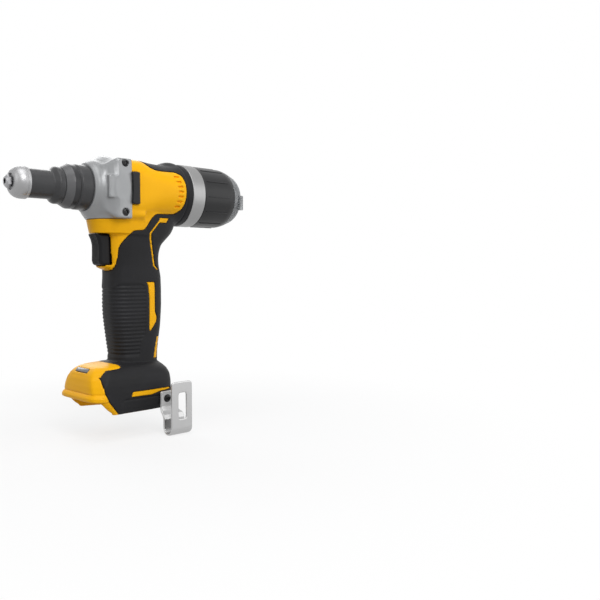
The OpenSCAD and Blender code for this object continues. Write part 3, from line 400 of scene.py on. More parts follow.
# A field's value well clear of every surface, in millimetres
FAR = 9.0


def skin_mesh(name, field, spans, steps, turn=None, parting=False):
    """A closed mesh over the zero of a field on a grid (surface nets), in metres.

    With parting, the last row in Y is the flat face where the two halves meet.
    """
    field = np.pad(field, 1, constant_values=FAR).astype(np.float32)
    inside = field < 0
    corners = [(i, j, k) for i in (0, 1) for j in (0, 1) for k in (0, 1)]
    nx, ny, nz = field.shape
    count = np.zeros((nx - 1, ny - 1, nz - 1), np.int8)
    for i, j, k in corners:
        count += inside[i:nx - 1 + i, j:ny - 1 + j, k:nz - 1 + k]
    cells = np.argwhere((count > 0) & (count < 8))
    index = np.full(count.shape, -1, np.int64)
    index[tuple(cells.T)] = np.arange(len(cells))
    values = {c: field[tuple((cells + c).T)] for c in corners}
    total = np.zeros((len(cells), 3))
    hits = np.zeros(len(cells))
    rim = np.zeros((len(cells), 4))
    for a in corners:
        for axis in range(3):
            if a[axis]:
                continue
            b = tuple(v + (n == axis) for n, v in enumerate(a))
            crossed = (values[a] < 0) != (values[b] < 0)
            share = np.where(crossed, values[a] / np.where(crossed, values[a] - values[b], 1), 0)
            point = np.array(a, float)[None, :].repeat(len(cells), 0)
            point[:, axis] += share
            total += point * crossed[:, None]
            hits += crossed
            if axis != 1 and a[1] == 0:
                rim += np.hstack([point, np.ones((len(cells), 1))]) * crossed[:, None]
    low = np.array([s[0] for s in spans]) - np.array(steps)
    place = total / hits[:, None]
    last = cells[:, 1] == ny - 3
    if parting:
        edge = last & (rim[:, 3] > 0)
        place[edge] = rim[edge, :3] / rim[edge, 3:]
    verts = ((cells + place) * np.array(steps) + low) * MM
    if parting:
        half_seam = 0.02
        verts[last, 1] = -half_seam * MM
    quads = []
    for axis in range(3):
        u, v = [n for n in range(3) if n != axis]
        span = [slice(1, -1)] * 3
        span[axis] = slice(0, field.shape[axis] - 1)
        ahead = list(span)
        ahead[axis] = slice(1, field.shape[axis])
        here, there = inside[tuple(span)], inside[tuple(ahead)]
        offset = np.array([1, 1, 1])
        offset[axis] = 0
        for edges, flip in ((np.argwhere(here & ~there), False), (np.argwhere(~here & there), True)):
            corner = edges + offset
            ring = []
            for du, dv in ((-1, -1), (0, -1), (0, 0), (-1, 0)):
                c = corner.copy()
                c[:, u] += du
                c[:, v] += dv
                ring.append(index[tuple(c.T)])
            quad = np.stack(ring, 1)
            if flip != (axis == 1):
                quad = quad[:, ::-1]
            quads.append(quad)
    quads = np.concatenate(quads)
    mesh = bpy.data.meshes.new(name)
    mesh.from_pydata(verts.tolist(), [], quads.tolist())
    if turn is not None:
        mesh.transform(turn)
        mesh.flip_normals()
    mesh.polygons.foreach_set("use_smooth", [True] * len(mesh.polygons))
    if parting:
        mesh.set_sharp_from_angle(angle=math.radians(62))
    return put_in_scene(name, mesh)


# Moulded or blasted grain: a fine even pebble in height, with slow changes in gloss and shade
moulded_grain, g_in, g_out = shader_group(
    "moulded_grain",
    [("Colour", "NodeSocketColor", (0.5, 0.5, 0.5, 1)), ("Shade", "NodeSocketColor", (0.4, 0.4, 0.4, 1)),
     ("Pebble", "NodeSocketFloat", 2500.0), ("Gloss", "NodeSocketFloat", 0.5),
     ("Spread", "NodeSocketFloat", 0.1)],
    [("Colour", "NodeSocketColor"), ("Height", "NodeSocketFloat"), ("Roughness", "NodeSocketFloat")])
nodes, links = moulded_grain.nodes, moulded_grain.links
coords = nodes.new("ShaderNodeTexCoord")
pebble = nodes.new("ShaderNodeTexNoise")
pebble.inputs["Detail"].default_value = 3
links.new(coords.outputs["Object"], pebble.inputs["Vector"])
links.new(g_in.outputs["Pebble"], pebble.inputs["Scale"])
drift = nodes.new("ShaderNodeTexNoise")
drift.inputs["Scale"].default_value = 28
drift.inputs["Detail"].default_value = 5
links.new(coords.outputs["Object"], drift.inputs["Vector"])
patch = nodes.new("ShaderNodeMapRange")
patch.inputs["From Min"].default_value = 0.38
patch.inputs["From Max"].default_value = 0.68
links.new(drift.outputs["Fac"], patch.inputs["Value"])
tint = mix_colour(nodes, links, patch.outputs["Result"], g_in.outputs["Colour"], g_in.outputs["Shade"])
links.new(tint, g_out.inputs["Colour"])
links.new(pebble.outputs["Fac"], g_out.inputs["Height"])
fine = math_node(nodes, links, "MULTIPLY_ADD", pebble.outputs["Fac"], 0.5, -0.5)
both = math_node(nodes, links, "MULTIPLY_ADD", drift.outputs["Fac"], 0.5, fine)
gloss = math_node(nodes, links, "MULTIPLY_ADD", both, g_in.outputs["Spread"], g_in.outputs["Gloss"])
links.new(gloss, g_out.inputs["Roughness"])


def grained(name, colour, shade, gloss, spread=0.12, pebble=2500, depth=0.2, metallic=0.0, level=0.5):
    material, nodes, links, bsdf = node_material(name)
    grain = group_node(
        nodes, moulded_grain, Colour=(*colour, 1), Shade=(*shade, 1),
        Pebble=pebble, Gloss=gloss, Spread=spread)
    bsdf.inputs["Metallic"].default_value = metallic
    bsdf.inputs["Specular IOR Level"].default_value = level
    links.new(grain.outputs["Colour"], bsdf.inputs["Base Color"])
    links.new(grain.outputs["Roughness"], bsdf.inputs["Roughness"])
    bump_from(nodes, links, bsdf, grain.outputs["Height"], depth)
    return material


case_spans = [(73.8, 110.4), (-35, 35), (-32, 34)]
case_steps = (0.6, 0.6, 0.6)
x, y, z = grid(case_spans, case_steps)
reach = np.sqrt(y * y + z * z)

# Two round swells with a waist between them
swell = np.interp(
    x, [74.8, 75.8, 78, 81, 83.2, 84.8, 86.2, 88.2, 91.2, 95, 99.4, 104, 110],
    [22.4, 23.5, 25.2, 26.7, 27.2, 26.9, 27.3, 29.2, 31.5, 32.3, 32.3, 31.4, 30.0]).astype(np.float32)
bell_front, bell_back, bell_lean = 75.7, 106, 0.85
bell = np.maximum((reach - swell) * bell_lean, np.maximum(bell_front - x, x - bell_back))

# The square flange, tapered in front, with rounded corners
flange_front, flange_back, flange_half, flange_low, flange_top = 84, 125, 33, -31, 28.8
flange_middle, flange_tall = (flange_top + flange_low) / 2, (flange_top - flange_low) / 2
taper_back, taper_slope, lean, corner_radius = 96.0, 0.72, 0.82, 4.5
from_middle = np.abs(z - flange_middle)
taper = np.maximum(taper_back - x, 0) * taper_slope
flange = block(
    x, y, z, (flange_front, -flange_half, flange_low), (flange_back, flange_half, flange_top), 3.5)
flange = soft_max(flange, lean * (np.abs(y) - flange_half + taper), 2.5)
flange = soft_max(flange, lean * (from_middle - flange_tall + taper), 2.5)
corner_y = np.maximum(np.abs(y) - (flange_half - corner_radius), 0)
corner_z = np.maximum(from_middle - (flange_tall - corner_radius), 0)
flange = soft_max(flange, np.sqrt(corner_y ** 2 + corner_z ** 2) - corner_radius, 1.5)
casting = soft_min(bell, flange, 6.0)

# The saddle that sits on the housing's neck, and a low boss on each side
neck_power, neck_middle, neck_long, neck_wide, neck_scale = 2.1, 112, 31.2, 26.2, 24
neck_plan = ((neck_middle - x) / neck_long) ** neck_power + (np.abs(y) / neck_wide) ** neck_power
saddle_deep = np.interp(x, [80, 87, 97, 110], [26.5, 25.0, 21.6, 21.0]).astype(np.float32)
saddle = np.maximum((neck_plan ** (1 / neck_power) - 1) * neck_scale, z + saddle_deep)
casting = soft_min(casting, saddle, 5.5)
boss = block(x, np.abs(y), z, (85.0, 18, -10.8), (99, 32.6, 10.8), 1.6)
casting = soft_min(casting, boss, 1.8)

# Flat faces at the rear, the bottom and the sides, and the counterbores of the flange screws
case_back, case_bottom, case_side = 109.6, -29.6, 33.1
casting = soft_max(casting, np.maximum(x - case_back, case_bottom - z), 0.8)
casting = np.maximum(casting, np.abs(y) - case_side)
screw_x, screw_z, bore, bore_floor = 102.6, 23.5, 3.75, 31.0
for end in (-1, 1):
    head = np.sqrt((x - screw_x) ** 2 + (z - end * screw_z) ** 2)
    casting = soft_max(casting, -np.maximum(head - bore, bore_floor - np.abs(y)), 0.5)

# Room inside for the thrust bearing, the nose and the gears
bearing_radius, bearing_front = 21.05, 84
nose_radius, nose_back = 17.05, 90
gear_radius, gear_front = 27.0, 98.5
bearing_room = np.maximum(reach - bearing_radius, bearing_front - x)
nose_room = np.maximum(reach - nose_radius, x - nose_back)
gear_room = np.maximum(reach - gear_radius, gear_front - x)
casting = np.maximum(casting, -np.minimum(np.minimum(bearing_room, nose_room), gear_room))
case_piece = skin_mesh("gear_casting", casting, case_spans, case_steps)
cast_alloy = grained(
    "cast_alloy", (0.31, 0.315, 0.32), shade=(0.27, 0.275, 0.28),
    gloss=0.38, spread=0.14, pebble=1900, depth=0.25, metallic=0.42, level=0.3)
dress(case_piece, cast_alloy, "housing", "cast_alloy", "gear_case")


# Flange screws: black cap screws with a hexagon socket that hold the casting, two in each side face.
# Turned and blackened; one screw is modelled and set at the corners of both sides.
def instance_tree(name, sizes):
    """A Geometry Nodes tree that sets one object on a row or ring of points; sizes are its named inputs."""
    tree = bpy.data.node_groups.new(name, "GeometryNodeTree")
    tree.interface.new_socket("Geometry", in_out="INPUT", socket_type="NodeSocketGeometry")
    tree.interface.new_socket("Geometry", in_out="OUTPUT", socket_type="NodeSocketGeometry")
    tree.interface.new_socket("Part", in_out="INPUT", socket_type="NodeSocketObject")
    tree.interface.new_socket("Finish", in_out="INPUT", socket_type="NodeSocketMaterial")
    for label, kind, value in sizes:
        tree.interface.new_socket(label, in_out="INPUT", socket_type=kind).default_value = value
    return tree, tree.nodes.new("NodeGroupInput"), tree.nodes.new("NodeGroupOutput")


def close_tree(tree, g_in, g_out, points, rotation):
    """Sets the part on the points, turned, and ends the tree in one painted mesh."""
    nodes, links = tree.nodes, tree.links
    part = nodes.new("GeometryNodeObjectInfo")
    links.new(g_in.outputs["Part"], part.inputs["Object"])
    put = nodes.new("GeometryNodeInstanceOnPoints")
    links.new(points, put.inputs["Points"])
    links.new(part.outputs["Geometry"], put.inputs["Instance"])
    links.new(rotation, put.inputs["Rotation"])
    real = nodes.new("GeometryNodeRealizeInstances")
    links.new(put.outputs["Instances"], real.inputs["Geometry"])
    paint = nodes.new("GeometryNodeSetMaterial")
    links.new(real.outputs["Geometry"], paint.inputs["Geometry"])
    links.new(g_in.outputs["Finish"], paint.inputs["Material"])
    links.new(paint.outputs["Geometry"], g_out.inputs["Geometry"])


def grown(name, tree, part, material, sizes):
    """Runs a tree on an empty mesh, keeps the result as a plain mesh and drops the modifier."""
    values = {"Part": part, "Finish": material, **sizes}
    carrier = put_in_scene(name + "_tree", bpy.data.meshes.new(name + "_tree"))
    modifier = carrier.modifiers.new("tree", "NODES")
    modifier.node_group = tree
    for item in tree.interface.items_tree:
        if item.item_type == "SOCKET" and item.in_out == "INPUT":
            if item.name in values:
                modifier[item.identifier] = values[item.name]
    bpy.context.view_layer.update()
    graph = bpy.context.evaluated_depsgraph_get()
    mesh = bpy.data.meshes.new_from_object(carrier.evaluated_get(graph), depsgraph=graph)
    carrier.modifiers.remove(modifier)
    bpy.data.objects.remove(carrier)
    bpy.data.objects.remove(part)
    smooth_by_angle(mesh)
    return put_in_scene(name, mesh)


socket_profile = [
    (-2.0, 1.9, 0.1), (-2.0, 3.0, 0.3), (-1.7, 3.35, 0.3), (0, 3.4, 0.1), (0, 2, 0), (6, 2, 0.3),
    (6, 0.05, 0), (-0.7, 0.05, 0), (-0.7, 1.9, 0)]
one_screw = turned("one_side_screw", socket_profile, segments=36, hexagon=(-0.65, 1.7))
seat_y = 31.3
corner_tree, g_in, g_out = instance_tree("side_screws", [
    ("Height", "NodeSocketFloat", 2 * screw_z * MM), ("Station", "NodeSocketFloat", screw_x * MM),
    ("Side", "NodeSocketFloat", seat_y * MM), ("Turn", "NodeSocketFloat", math.radians(90))])
nodes, links = corner_tree.nodes, corner_tree.links
pair = nodes.new("GeometryNodeMeshLine")
pair.inputs["Count"].default_value = 2
begin = nodes.new("ShaderNodeCombineXYZ")
links.new(g_in.outputs["Station"], begin.inputs["X"])
links.new(g_in.outputs["Side"], begin.inputs["Y"])
links.new(math_node(nodes, links, "MULTIPLY", g_in.outputs["Height"], -0.5), begin.inputs["Z"])
links.new(begin.outputs["Vector"], pair.inputs["Start Location"])
rise = nodes.new("ShaderNodeCombineXYZ")
links.new(g_in.outputs["Height"], rise.inputs["Z"])
links.new(rise.outputs["Vector"], pair.inputs["Offset"])
facing = nodes.new("ShaderNodeCombineXYZ")
links.new(g_in.outputs["Turn"], facing.inputs["Z"])
close_tree(corner_tree, g_in, g_out, pair.outputs["Mesh"], facing.outputs["Vector"])
screw_black = turned_metal(
    "screw_black", (0.02, 0.02, 0.021),
    gloss=0.36, spread=0.1, rings=1200, depth=0.1, metallic=0.4)
for side, sign in (("left", -1), ("right", 1)):
    spare = put_in_scene("spare_screw", one_screw.data.copy())
    screws = grown(side + "_case_screws", corner_tree, spare, screw_black,
                   {"Side": sign * seat_y * MM, "Turn": math.radians(-90 * sign)})
    dress(screws, screw_black, "housing", "black_steel", *(["flange_screws"] if sign < 0 else []))
bpy.data.objects.remove(one_screw)

# Housing and overmould: two nylon shells, yellow, with black rubber moulded over the grip, tail and foot.
# One smooth form gives both. Outlines in side view part the rubber from the yellow, with a fine seam.
# Only the left half is worked out; the right half is its mirror image.
shell_spans = [(62, 178), (-40, 0.0), (-221, 36)]
shell_steps = (1.0, 0.8, 0.5)
x, y, z = grid(shell_spans, shell_steps)


def eased(stations, values, at, ease, spacing):
    """A line through the stations, its kinks smoothed over the ease on either side."""
    line = np.interp(at, stations, values)
    n = max(1, int(round(ease / spacing)))
    window = np.hanning(2 * n + 3)[1:-1]
    return np.convolve(np.pad(line, n, mode="edge"), window / window.sum(), "valid").astype(np.float32)


def rounded_column(a, b, half_a, half_b, power):
    """Distance to a soft-cornered section: a and b are offsets from its middle."""
    u, v = np.abs(a) / half_a, np.abs(b) / half_b
    f = np.maximum((u ** power + v ** power) ** (1 / power), 1e-3)
    slope = f ** (1 - power) * np.sqrt((u ** (power - 1) / half_a) ** 2 + (v ** (power - 1) / half_b) ** 2)
    return (f - 1) / np.maximum(slope, 1e-3)


def upright_form(sections, ease):
    """Sections are (z, front, middle, back, half width, front power, back power)."""
    rows = sorted(sections)
    at = z.ravel()
    stations = [r[0] for r in rows]
    front, mid, back, half, front_p, back_p = [
        eased(stations, [r[n] for r in rows], at, ease, shell_steps[2])[None, None, :] for n in range(1, 7)]
    ahead = x < mid
    half_long = np.where(ahead, mid - front, back - mid)
    d = rounded_column(x - mid, y, half_long, half, np.where(ahead, front_p, back_p))
    return np.maximum(d, np.maximum(z - stations[-1], stations[0] - z))


neck_form = upright_form([
    (-5, 80.6, 112, 150, 26.5, 2.1, 4), (-30, 81.2, 112, 150, 25.8, 2.1, 4),
    (-37, 82.4, 112, 149, 24.4, 2.1, 4), (-43.3, 83.6, 112, 146, 22.6, 2.1, 4)], ease=3)
neck_back, neck_top = 109.4, -29.8
neck_form = np.maximum(neck_form, np.minimum(neck_back - x, z - neck_top))
grip_form = upright_form([
    (-24, 100, 130, 176, 25.5, 3, 2.3), (-34, 98, 130, 175, 23.6, 3, 2.3),
    (-41, 97, 130, 171, 22.4, 3, 2.4), (-48, 97, 129, 163, 21.6, 3, 2.6), (-53, 97.2, 128, 157, 21, 3, 2.8),
    (-60.5, 97.6, 128, 153.8, 20.4, 3, 3), (-67.5, 98.2, 128, 153.0, 20, 3, 3),
    (-75, 99, 128, 153.7, 19.8, 3, 3), (-85.5, 99.2, 128, 156, 20, 3, 3),
    (-98, 98.3, 128, 156.4, 20.2, 3, 3), (-114, 98.0, 128, 156.4, 20.2, 3, 3),
    (-124, 98.4, 128, 155.8, 20.2, 3, 3), (-136, 99.8, 128, 154.8, 20, 3, 3),
    (-152, 102.0, 127, 152.5, 19.2, 3, 3), (-163, 103.6, 127, 151.2, 18.6, 3, 3),
    (-172, 104, 127, 151, 18.6, 3, 3), (-182, 104, 127, 151, 18.6, 3, 3)], ease=4)


def fade(past, over):
    """0 up to an edge and 1 beyond it, changing evenly over the given length."""
    return np.clip(past / over, 0, 1)


def groove(level, half):
    """1 along a level, falling off smoothly above and below."""
    return np.exp(-((z - level) / half) ** 2)


# The foot, with a crease down each front corner and a lip along the bottom of its front
foot_rows = sorted([
    (-171.0, 84, 114, 149, 13, 3, 2.1), (-171.8, 78.4, 113.5, 150.5, 20, 3.4, 2.1),
    (-173.2, 74.6, 113, 152.6, 25, 3.8, 2.2), (-175.8, 71.8, 112, 154.2, 28.8, 4.4, 3),
    (-179, 69.2, 112, 155.4, 31.6, 5, 4.2), (-184, 67.3, 112, 156, 34, 6.2, 5.5),
    (-190, 66.2, 112, 156, 35.3, 7, 6), (-197, 65.6, 112, 156, 36, 7, 6),
    (-203.6, 65.6, 112, 156, 36, 7, 6), (-206, 68.4, 112, 155.6, 36, 7, 6),
    (-213, 74.6, 112, 153.6, 35.4, 7, 6), (-218, 79, 112, 149, 33.8, 7, 6)])
foot_form = upright_form(foot_rows, ease=1.6)
levels, fronts, _, _, halves, _, _ = zip(*foot_rows)
crease_in = np.interp(z, [-203, -180], [7, 11])
from_front = np.interp(z, levels, fronts) - x
from_side = np.abs(y) - np.interp(z, levels, halves) + crease_in
crease_ahead, crease_out = 0.6, 0.8
crease = (crease_ahead * from_front + crease_out * from_side).astype(np.float32)
foot_form = soft_max(foot_form, crease, 0.8)
lip_back, lip_top, lip_bottom, lip_proud = 82, -197.2, -204.5, 2.2
lip_groove_level, lip_groove_half, lip_groove_deep = -197.0, 0.7, 0.6
lip_end = fade(lip_back - x, 10)
lip = fade(lip_top - z, 3.2) * fade(z - lip_bottom, 0.8) * lip_end
lip_groove = groove(lip_groove_level, lip_groove_half) * lip_end
foot_form = foot_form - lip_proud * lip + lip_groove_deep * lip_groove
guard_form = upright_form([
    (-74.4, 88.4, 98, 106, 11.6, 2.2, 3), (-76.6, 90.6, 98.5, 105, 10.6, 2.2, 3),
    (-78.4, 95, 100, 104, 8.4, 2.2, 3)], ease=0.6)

# The barrel round the motor, with a ridge on top at the rear and a boss for the shell screw
barrel_front, barrel_back = 109.05, 175.4


def along_barrel(stations, values, ease):
    return eased(stations, values, x.ravel(), ease, shell_steps[0])[:, None, None]


half_y = along_barrel([109, 125, 158, 175.5], [33.0, 33.5, 33.2, 32.2], ease=6)
half_z = along_barrel(
    [109, 120, 130, 140, 156, 166, 175.5], [29.6, 30.2, 29.9, 29.3, 29.2, 29.8, 31.6], ease=4)
power = along_barrel([109, 122, 136, 156, 175.5], [4.2, 3.6, 2.7, 2.1, 2.1], ease=6)
barrel_form = np.maximum(
    rounded_column(y, z, half_y, half_z, power), np.maximum(barrel_front - x, x - barrel_back))
ridge_x, ridge_z, ridge_long, ridge_wide, ridge_tall, ridge_scale = 172, 23, 15.5, 12, 10.6, 10
ridge_u, ridge_v, ridge_w = (x - ridge_x) / ridge_long, y / ridge_wide, (z - ridge_z) / ridge_tall
ridge = np.sqrt(ridge_u ** 2 + ridge_v ** 2 + ridge_w ** 2) - 1
barrel_form = soft_min(barrel_form, np.maximum(ridge * ridge_scale, x - barrel_back), 3)
boss_y, boss_z, boss_radius, boss_back = -26, -24, 5.0, 125.5
screw_boss = np.sqrt((y - boss_y) ** 2 + (z - boss_z) ** 2) - boss_radius
screw_boss = np.maximum(screw_boss, np.maximum(barrel_front - x, x - boss_back))
barrel_form = soft_min(barrel_form, screw_boss, 2)

form = soft_min(barrel_form, neck_form, 4)
form = soft_min(form, grip_form, 4)
form = soft_min(form, foot_form, 3)
form = soft_min(form, guard_form, 2.5)
# Its slope is brought close to 1, so that depths below the surface are true
slopes = np.gradient(form, *shell_steps)
form = form / np.clip(np.sqrt(sum(s * s for s in slopes)), 0.6, 3.0)


def outline(points, fillet, across=None, up=None):
    """Signed distance to an outline with rounded corners, in side view or, with other axes, in plan."""
    ring = [np.array(p, float) for p in rounded_corners([(px, pz, fillet) for px, pz in points], 4)]
    px = x if across is None else across
    pz = z if up is None else up
    near = np.full(np.broadcast_shapes(px.shape, pz.shape), 1e9, np.float32)
    within = np.zeros(near.shape, bool)
    for a, b in zip(ring, ring[1:] + ring[:1]):
        ex, ez = b - a
        wx, wz = px - a[0], pz - a[1]
        t = np.clip((wx * ex + wz * ez) / (ex * ex + ez * ez + 1e-9), 0, 1)
        near = np.minimum(near, (wx - ex * t) ** 2 + (wz - ez * t) ** 2)
        within ^= ((a[1] > pz) != (b[1] > pz)) & (px < ex * (pz - a[1]) / (ez + (ez == 0) * 1e-9) + a[0])
    return (np.where(within, -1, 1) * np.sqrt(near)).astype(np.float32)


# What stays yellow: the side plate, the foot's front in plan and side view, and thin strips in the rubber
plate = outline([
    (60, 45), (124, 45), (126, 29.3), (128.3, 25.4), (133.4, 21.7), (141, 19.8), (152, 20.3), (164, 20.8),
    (170.4, 18), (173.2, 11), (173.9, 0.5), (172.8, -10), (170.2, -17), (164, -21.9), (140.6, -23.1),
    (135.1, -28), (130.7, -35.8), (128, -39.4), (116, -40.5), (106.4, -52), (104.0, -56.6), (103.4, -63.7),
    (103.0, -70), (101.8, -75.6), (99.4, -80.4), (60, -80.4)], fillet=2.0)
foot_top = outline([
    (50, -3), (97.4, -3), (97.6, 11), (99.8, 20), (99.4, 24.6), (96, 26.6), (87, 26.8), (82.5, 25.0),
    (72.4, 28.4), (60, 42), (50, 42)], fillet=1.0, across=x, up=-y)
foot_front = outline([
    (40, -181), (75.0, -181), (75.6, -187), (76.8, -196), (79.8, -203.6), (85.0, -210), (92, -219),
    (92, -226), (40, -226)], fillet=1.5)
plan_bottom, foot_high = -181.6, -164
foot_front = np.minimum(np.maximum(foot_top, plan_bottom - z), foot_front)
foot_front = np.maximum(foot_front, z - foot_high)
yellow = np.minimum(plate, foot_front)
for points, fillet in (
        ([(146.0, -26.6), (159, -26.2), (156, -31.2), (146.4, -31.2)], 0.5),
        ([(146.2, -28.6), (147.8, -29.6), (137.0, -42.6), (137.4, -46.4), (141.6, -65.4), (143.2, -74.6),
          (148.2, -78.4), (147.6, -79.8), (141.4, -75.6), (139.6, -65.6), (135.3, -46.6),
          (134.9, -42.0)], 0.5),
        ([(132.7, -91.2), (142.2, -91.5), (142.8, -101.8), (142.8, -121.6), (145.2, -127.3),
          (144.4, -132.0), (136.4, -141.6), (135.4, -138.4), (135.6, -107), (134.4, -95)], 0.5),
        ([(146.2, -147), (150.8, -147.6), (147.2, -169.6), (142.0, -168.8)], 0.4),
        ([(105.8, -197.5), (149.2, -197.5), (150.6, -199.4), (137, -200.4), (127, -202.7),
          (104.4, -202.4)], 0.4)):
    yellow = np.minimum(yellow, outline(points, fillet))

# Relief in the rubber: the ribbed grip panel, and a step along the side of the foot
grip_panel = outline([
    (86, -97.2), (99.8, -96.7), (105.4, -91.9), (126.2, -92.1), (131.2, -96), (131.8, -117.8),
    (131.4, -138.6), (129.6, -145), (126, -150.3), (124.4, -166), (86, -166)], fillet=1.0)
panel = fade(-grip_panel, 0.9)
rib_pitch, rib_level = 3.8, -91
ribs = 0.5 + 0.5 * np.cos(2 * math.pi * (z - rib_level) / rib_pitch)
side_groove_level, side_groove_half, side_groove_front = -204.4, 0.9, 95
side_groove = groove(side_groove_level, side_groove_half) * fade(x - side_groove_front, 3)
low_side_top, low_side_front = -204.2, 93
low_side = fade(low_side_top - z, 0.8) * fade(x - low_side_front, 3)

# Rooms cut out of both: inside for the works, outside for the battery, trigger, pads, hook screw and light
wall, drive_radius, drive_front, foot_floor = 5, 28.5, 108, -201.5
handle_front, handle_back, handle_top = 105.4, 152, -34
drive_room = np.maximum(np.sqrt(y * y + z * z) - drive_radius, drive_front - x)
handle_room = np.maximum(grip_form, z - handle_top) + wall
handle_room = np.maximum(handle_room, np.maximum(handle_front - x, x - handle_back))
switch_room = block(x, y, z, (107, -13.2, -72), (138, 13.2, -45), 0.2)
foot_room = np.maximum(foot_form + wall, foot_floor - z)
mouth_half = np.interp(x, [84, 98], [32.2, 27]).astype(np.float32)
lips_half = np.interp(x, [90, 106], [32.2, 23]).astype(np.float32)
channel_top, channel_back, lips_top = -204, 130, -213.5
channel = np.minimum(
    np.maximum(np.abs(y) - mouth_half, lips_top - z), np.abs(y) - np.minimum(lips_half, mouth_half))
channel = np.maximum(channel, np.maximum(z - channel_top, x - channel_back))
trigger_pocket = block(x, y, z, (60, -9.4, -75.5), (107.6, 9.4, -43.4), 0.8)
bumper_seat = block(x, y, z, (100, -40, -15.9), (117.0, -31.5, 15.9), 0.8)
hook_bolt_x, hook_bolt_z, hook_bolt_end, insert_radius = 143.5, -208, -28, 3.7
hook_hole = np.sqrt((x - hook_bolt_x) ** 2 + (z - hook_bolt_z) ** 2) - insert_radius
hook_hole = np.maximum(hook_hole, y - hook_bolt_end)
lens_x, lens_z, lens_tilt = 71.9, -176.0, math.radians(44)
lens_along = (x - lens_x) * math.cos(lens_tilt) + (z - lens_z) * math.sin(lens_tilt)
lens_out = (z - lens_z) * math.cos(lens_tilt) - (x - lens_x) * math.sin(lens_tilt)
lens_seat = block(lens_along, y, lens_out, (-2.3, -11.3, -3.0), (2.3, 11.3, 9), 0.3)
rooms = drive_room
for room in (
        handle_room, switch_room, foot_room, channel, trigger_pocket, bumper_seat, hook_hole, lens_seat):
    rooms = np.minimum(rooms, room)
parting_gap = 0.03
seam = y + parting_gap

# Vent slots: a bowed column of short slits, as deep as each other below the surface
vent_count, vent_top, vent_pitch, vent_half, vent_deep = 7, 15.5, 5.0, 0.95, 1.9
vent_front, vent_back, vent_bow, vent_middle = 163.8, 170.0, 0.013, 0.5
vent = np.full_like(form, FAR)
for n in range(vent_count):
    level = vent_top - vent_pitch * n
    bow = vent_bow * (level - vent_middle) ** 2
    low, high = (vent_front - bow, -60, level - vent_half), (vent_back - bow, 40, level + vent_half)
    slit = block(x, y, z, low, high, 0.6)
    vent = np.minimum(vent, np.maximum(slit, -(form + vent_deep)))

# The rubber stands a little proud; below the grip it is a skin over a yellow core. The rails stay yellow.
# The gap to the yellow is open at the surface and becomes an overlap underneath, so nothing shows through.
foot_from, skin_deep, core_deep = -166, 2.6, 2.7
gap = np.interp(form, [-1.8, -0.9], [-0.4, 0.15]).astype(np.float32)
rail_half, rail_top, rail_back, rail_gap, foot_bottom = 33.0, -206, 126, 0.2, -218.0
rail = np.maximum(np.maximum(np.abs(y) - rail_half, z - rail_top), x - rail_back)
panel_deep, rib_deep, side_groove_deep, low_side_deep, rubber_proud = 0.3, 0.6, 1.0, 0.6, 0.35
relief = panel * (panel_deep + rib_deep * ribs)
rubber_form = form + relief + side_groove_deep * side_groove + low_side_deep * low_side - rubber_proud
rubber = soft_max(rubber_form, gap - yellow, np.where(plate < foot_front, 0.9, 0.5))
rubber = np.maximum(rubber, np.where(z < foot_from, -(form + skin_deep), -FAR))
rubber = np.maximum(np.maximum(soft_max(rubber, -rooms, 0.5), seam), foot_bottom - z)
rubber = np.maximum(rubber, rail_gap - rail)
core = np.maximum(form + core_deep, np.where(z < foot_from, -FAR, FAR))
shell = np.minimum(soft_max(form, yellow + gap, 0.35), core)
shell = np.minimum(shell, np.maximum(form, rail))
shell = soft_max(shell, -vent, 0.4)
shell = np.maximum(soft_max(shell, -rooms, 0.5), seam)

yellow_nylon = grained(
    "yellow_nylon", (0.95, 0.47, 0.005), shade=(0.91, 0.44, 0.004),
    gloss=0.36, spread=0.12, pebble=1700, depth=0.12, level=0.12)
black_rubber = grained(
    "black_rubber", (0.016, 0.016, 0.017), shade=(0.021, 0.021, 0.023),
    gloss=0.48, spread=0.16, pebble=2600, depth=0.32, level=0.13)
to_right = Matrix.Scale(-1, 4, (0, 1, 0))
for side, turn in (("left", None), ("right", to_right)):
    shell_piece = skin_mesh(side + "_shell", shell, shell_spans, shell_steps, turn, parting=True)
    dress(shell_piece, yellow_nylon, "housing", "yellow_plastic", side + "_housing")
    rubber_piece = skin_mesh(side + "_overmould", rubber, shell_spans, shell_steps, turn, parting=True)
    dress(rubber_piece, black_rubber, "housing", "black_rubber", side + "_grip")

# Bumper pads: two black rubber blocks, one let into each side of the housing behind the casting.
# Moulded with rounded edges, slightly hollow along the front edge.
pad_spans = [(107.5, 118), (30.5, 37), (-17, 17)]
pad_steps = (0.4, 0.4, 0.5)
x, y, z = grid(pad_spans, pad_steps)
pad_front, pad_back, pad_middle, pad_root, pad_face, pad_half = 108.4, 116.6, 112.6, 31.7, 35.9, 15.5
hollow_deep, hollow_half, crown_deep, crown_half = 0.9, 12.5, 0.25, 4
pad = block(x, y, z, (pad_front, pad_root, -pad_half), (pad_back, pad_face, pad_half), 1.3)
hollow = pad_front + hollow_deep * np.clip(1 - (z / hollow_half) ** 2, 0, 1)
pad = soft_max(pad, hollow - x, 0.8)
pad = soft_max(pad, y - pad_face + crown_deep * ((x - pad_middle) / crown_half) ** 2, 0.5)
pad_rubber = grained(
    "pad_rubber", (0.017, 0.017, 0.018), shade=(0.022, 0.022, 0.024),
    gloss=0.46, spread=0.16, pebble=2600, depth=0.3, level=0.2)
right_pad = skin_mesh("right_pad", pad, pad_spans, pad_steps)
left_pad = skin_mesh("left_pad", pad, pad_spans, pad_steps, to_right)
dress(right_pad, pad_rubber, "housing", "black_rubber")
dress(left_pad, pad_rubber, "housing", "black_rubber", "side_bumpers")

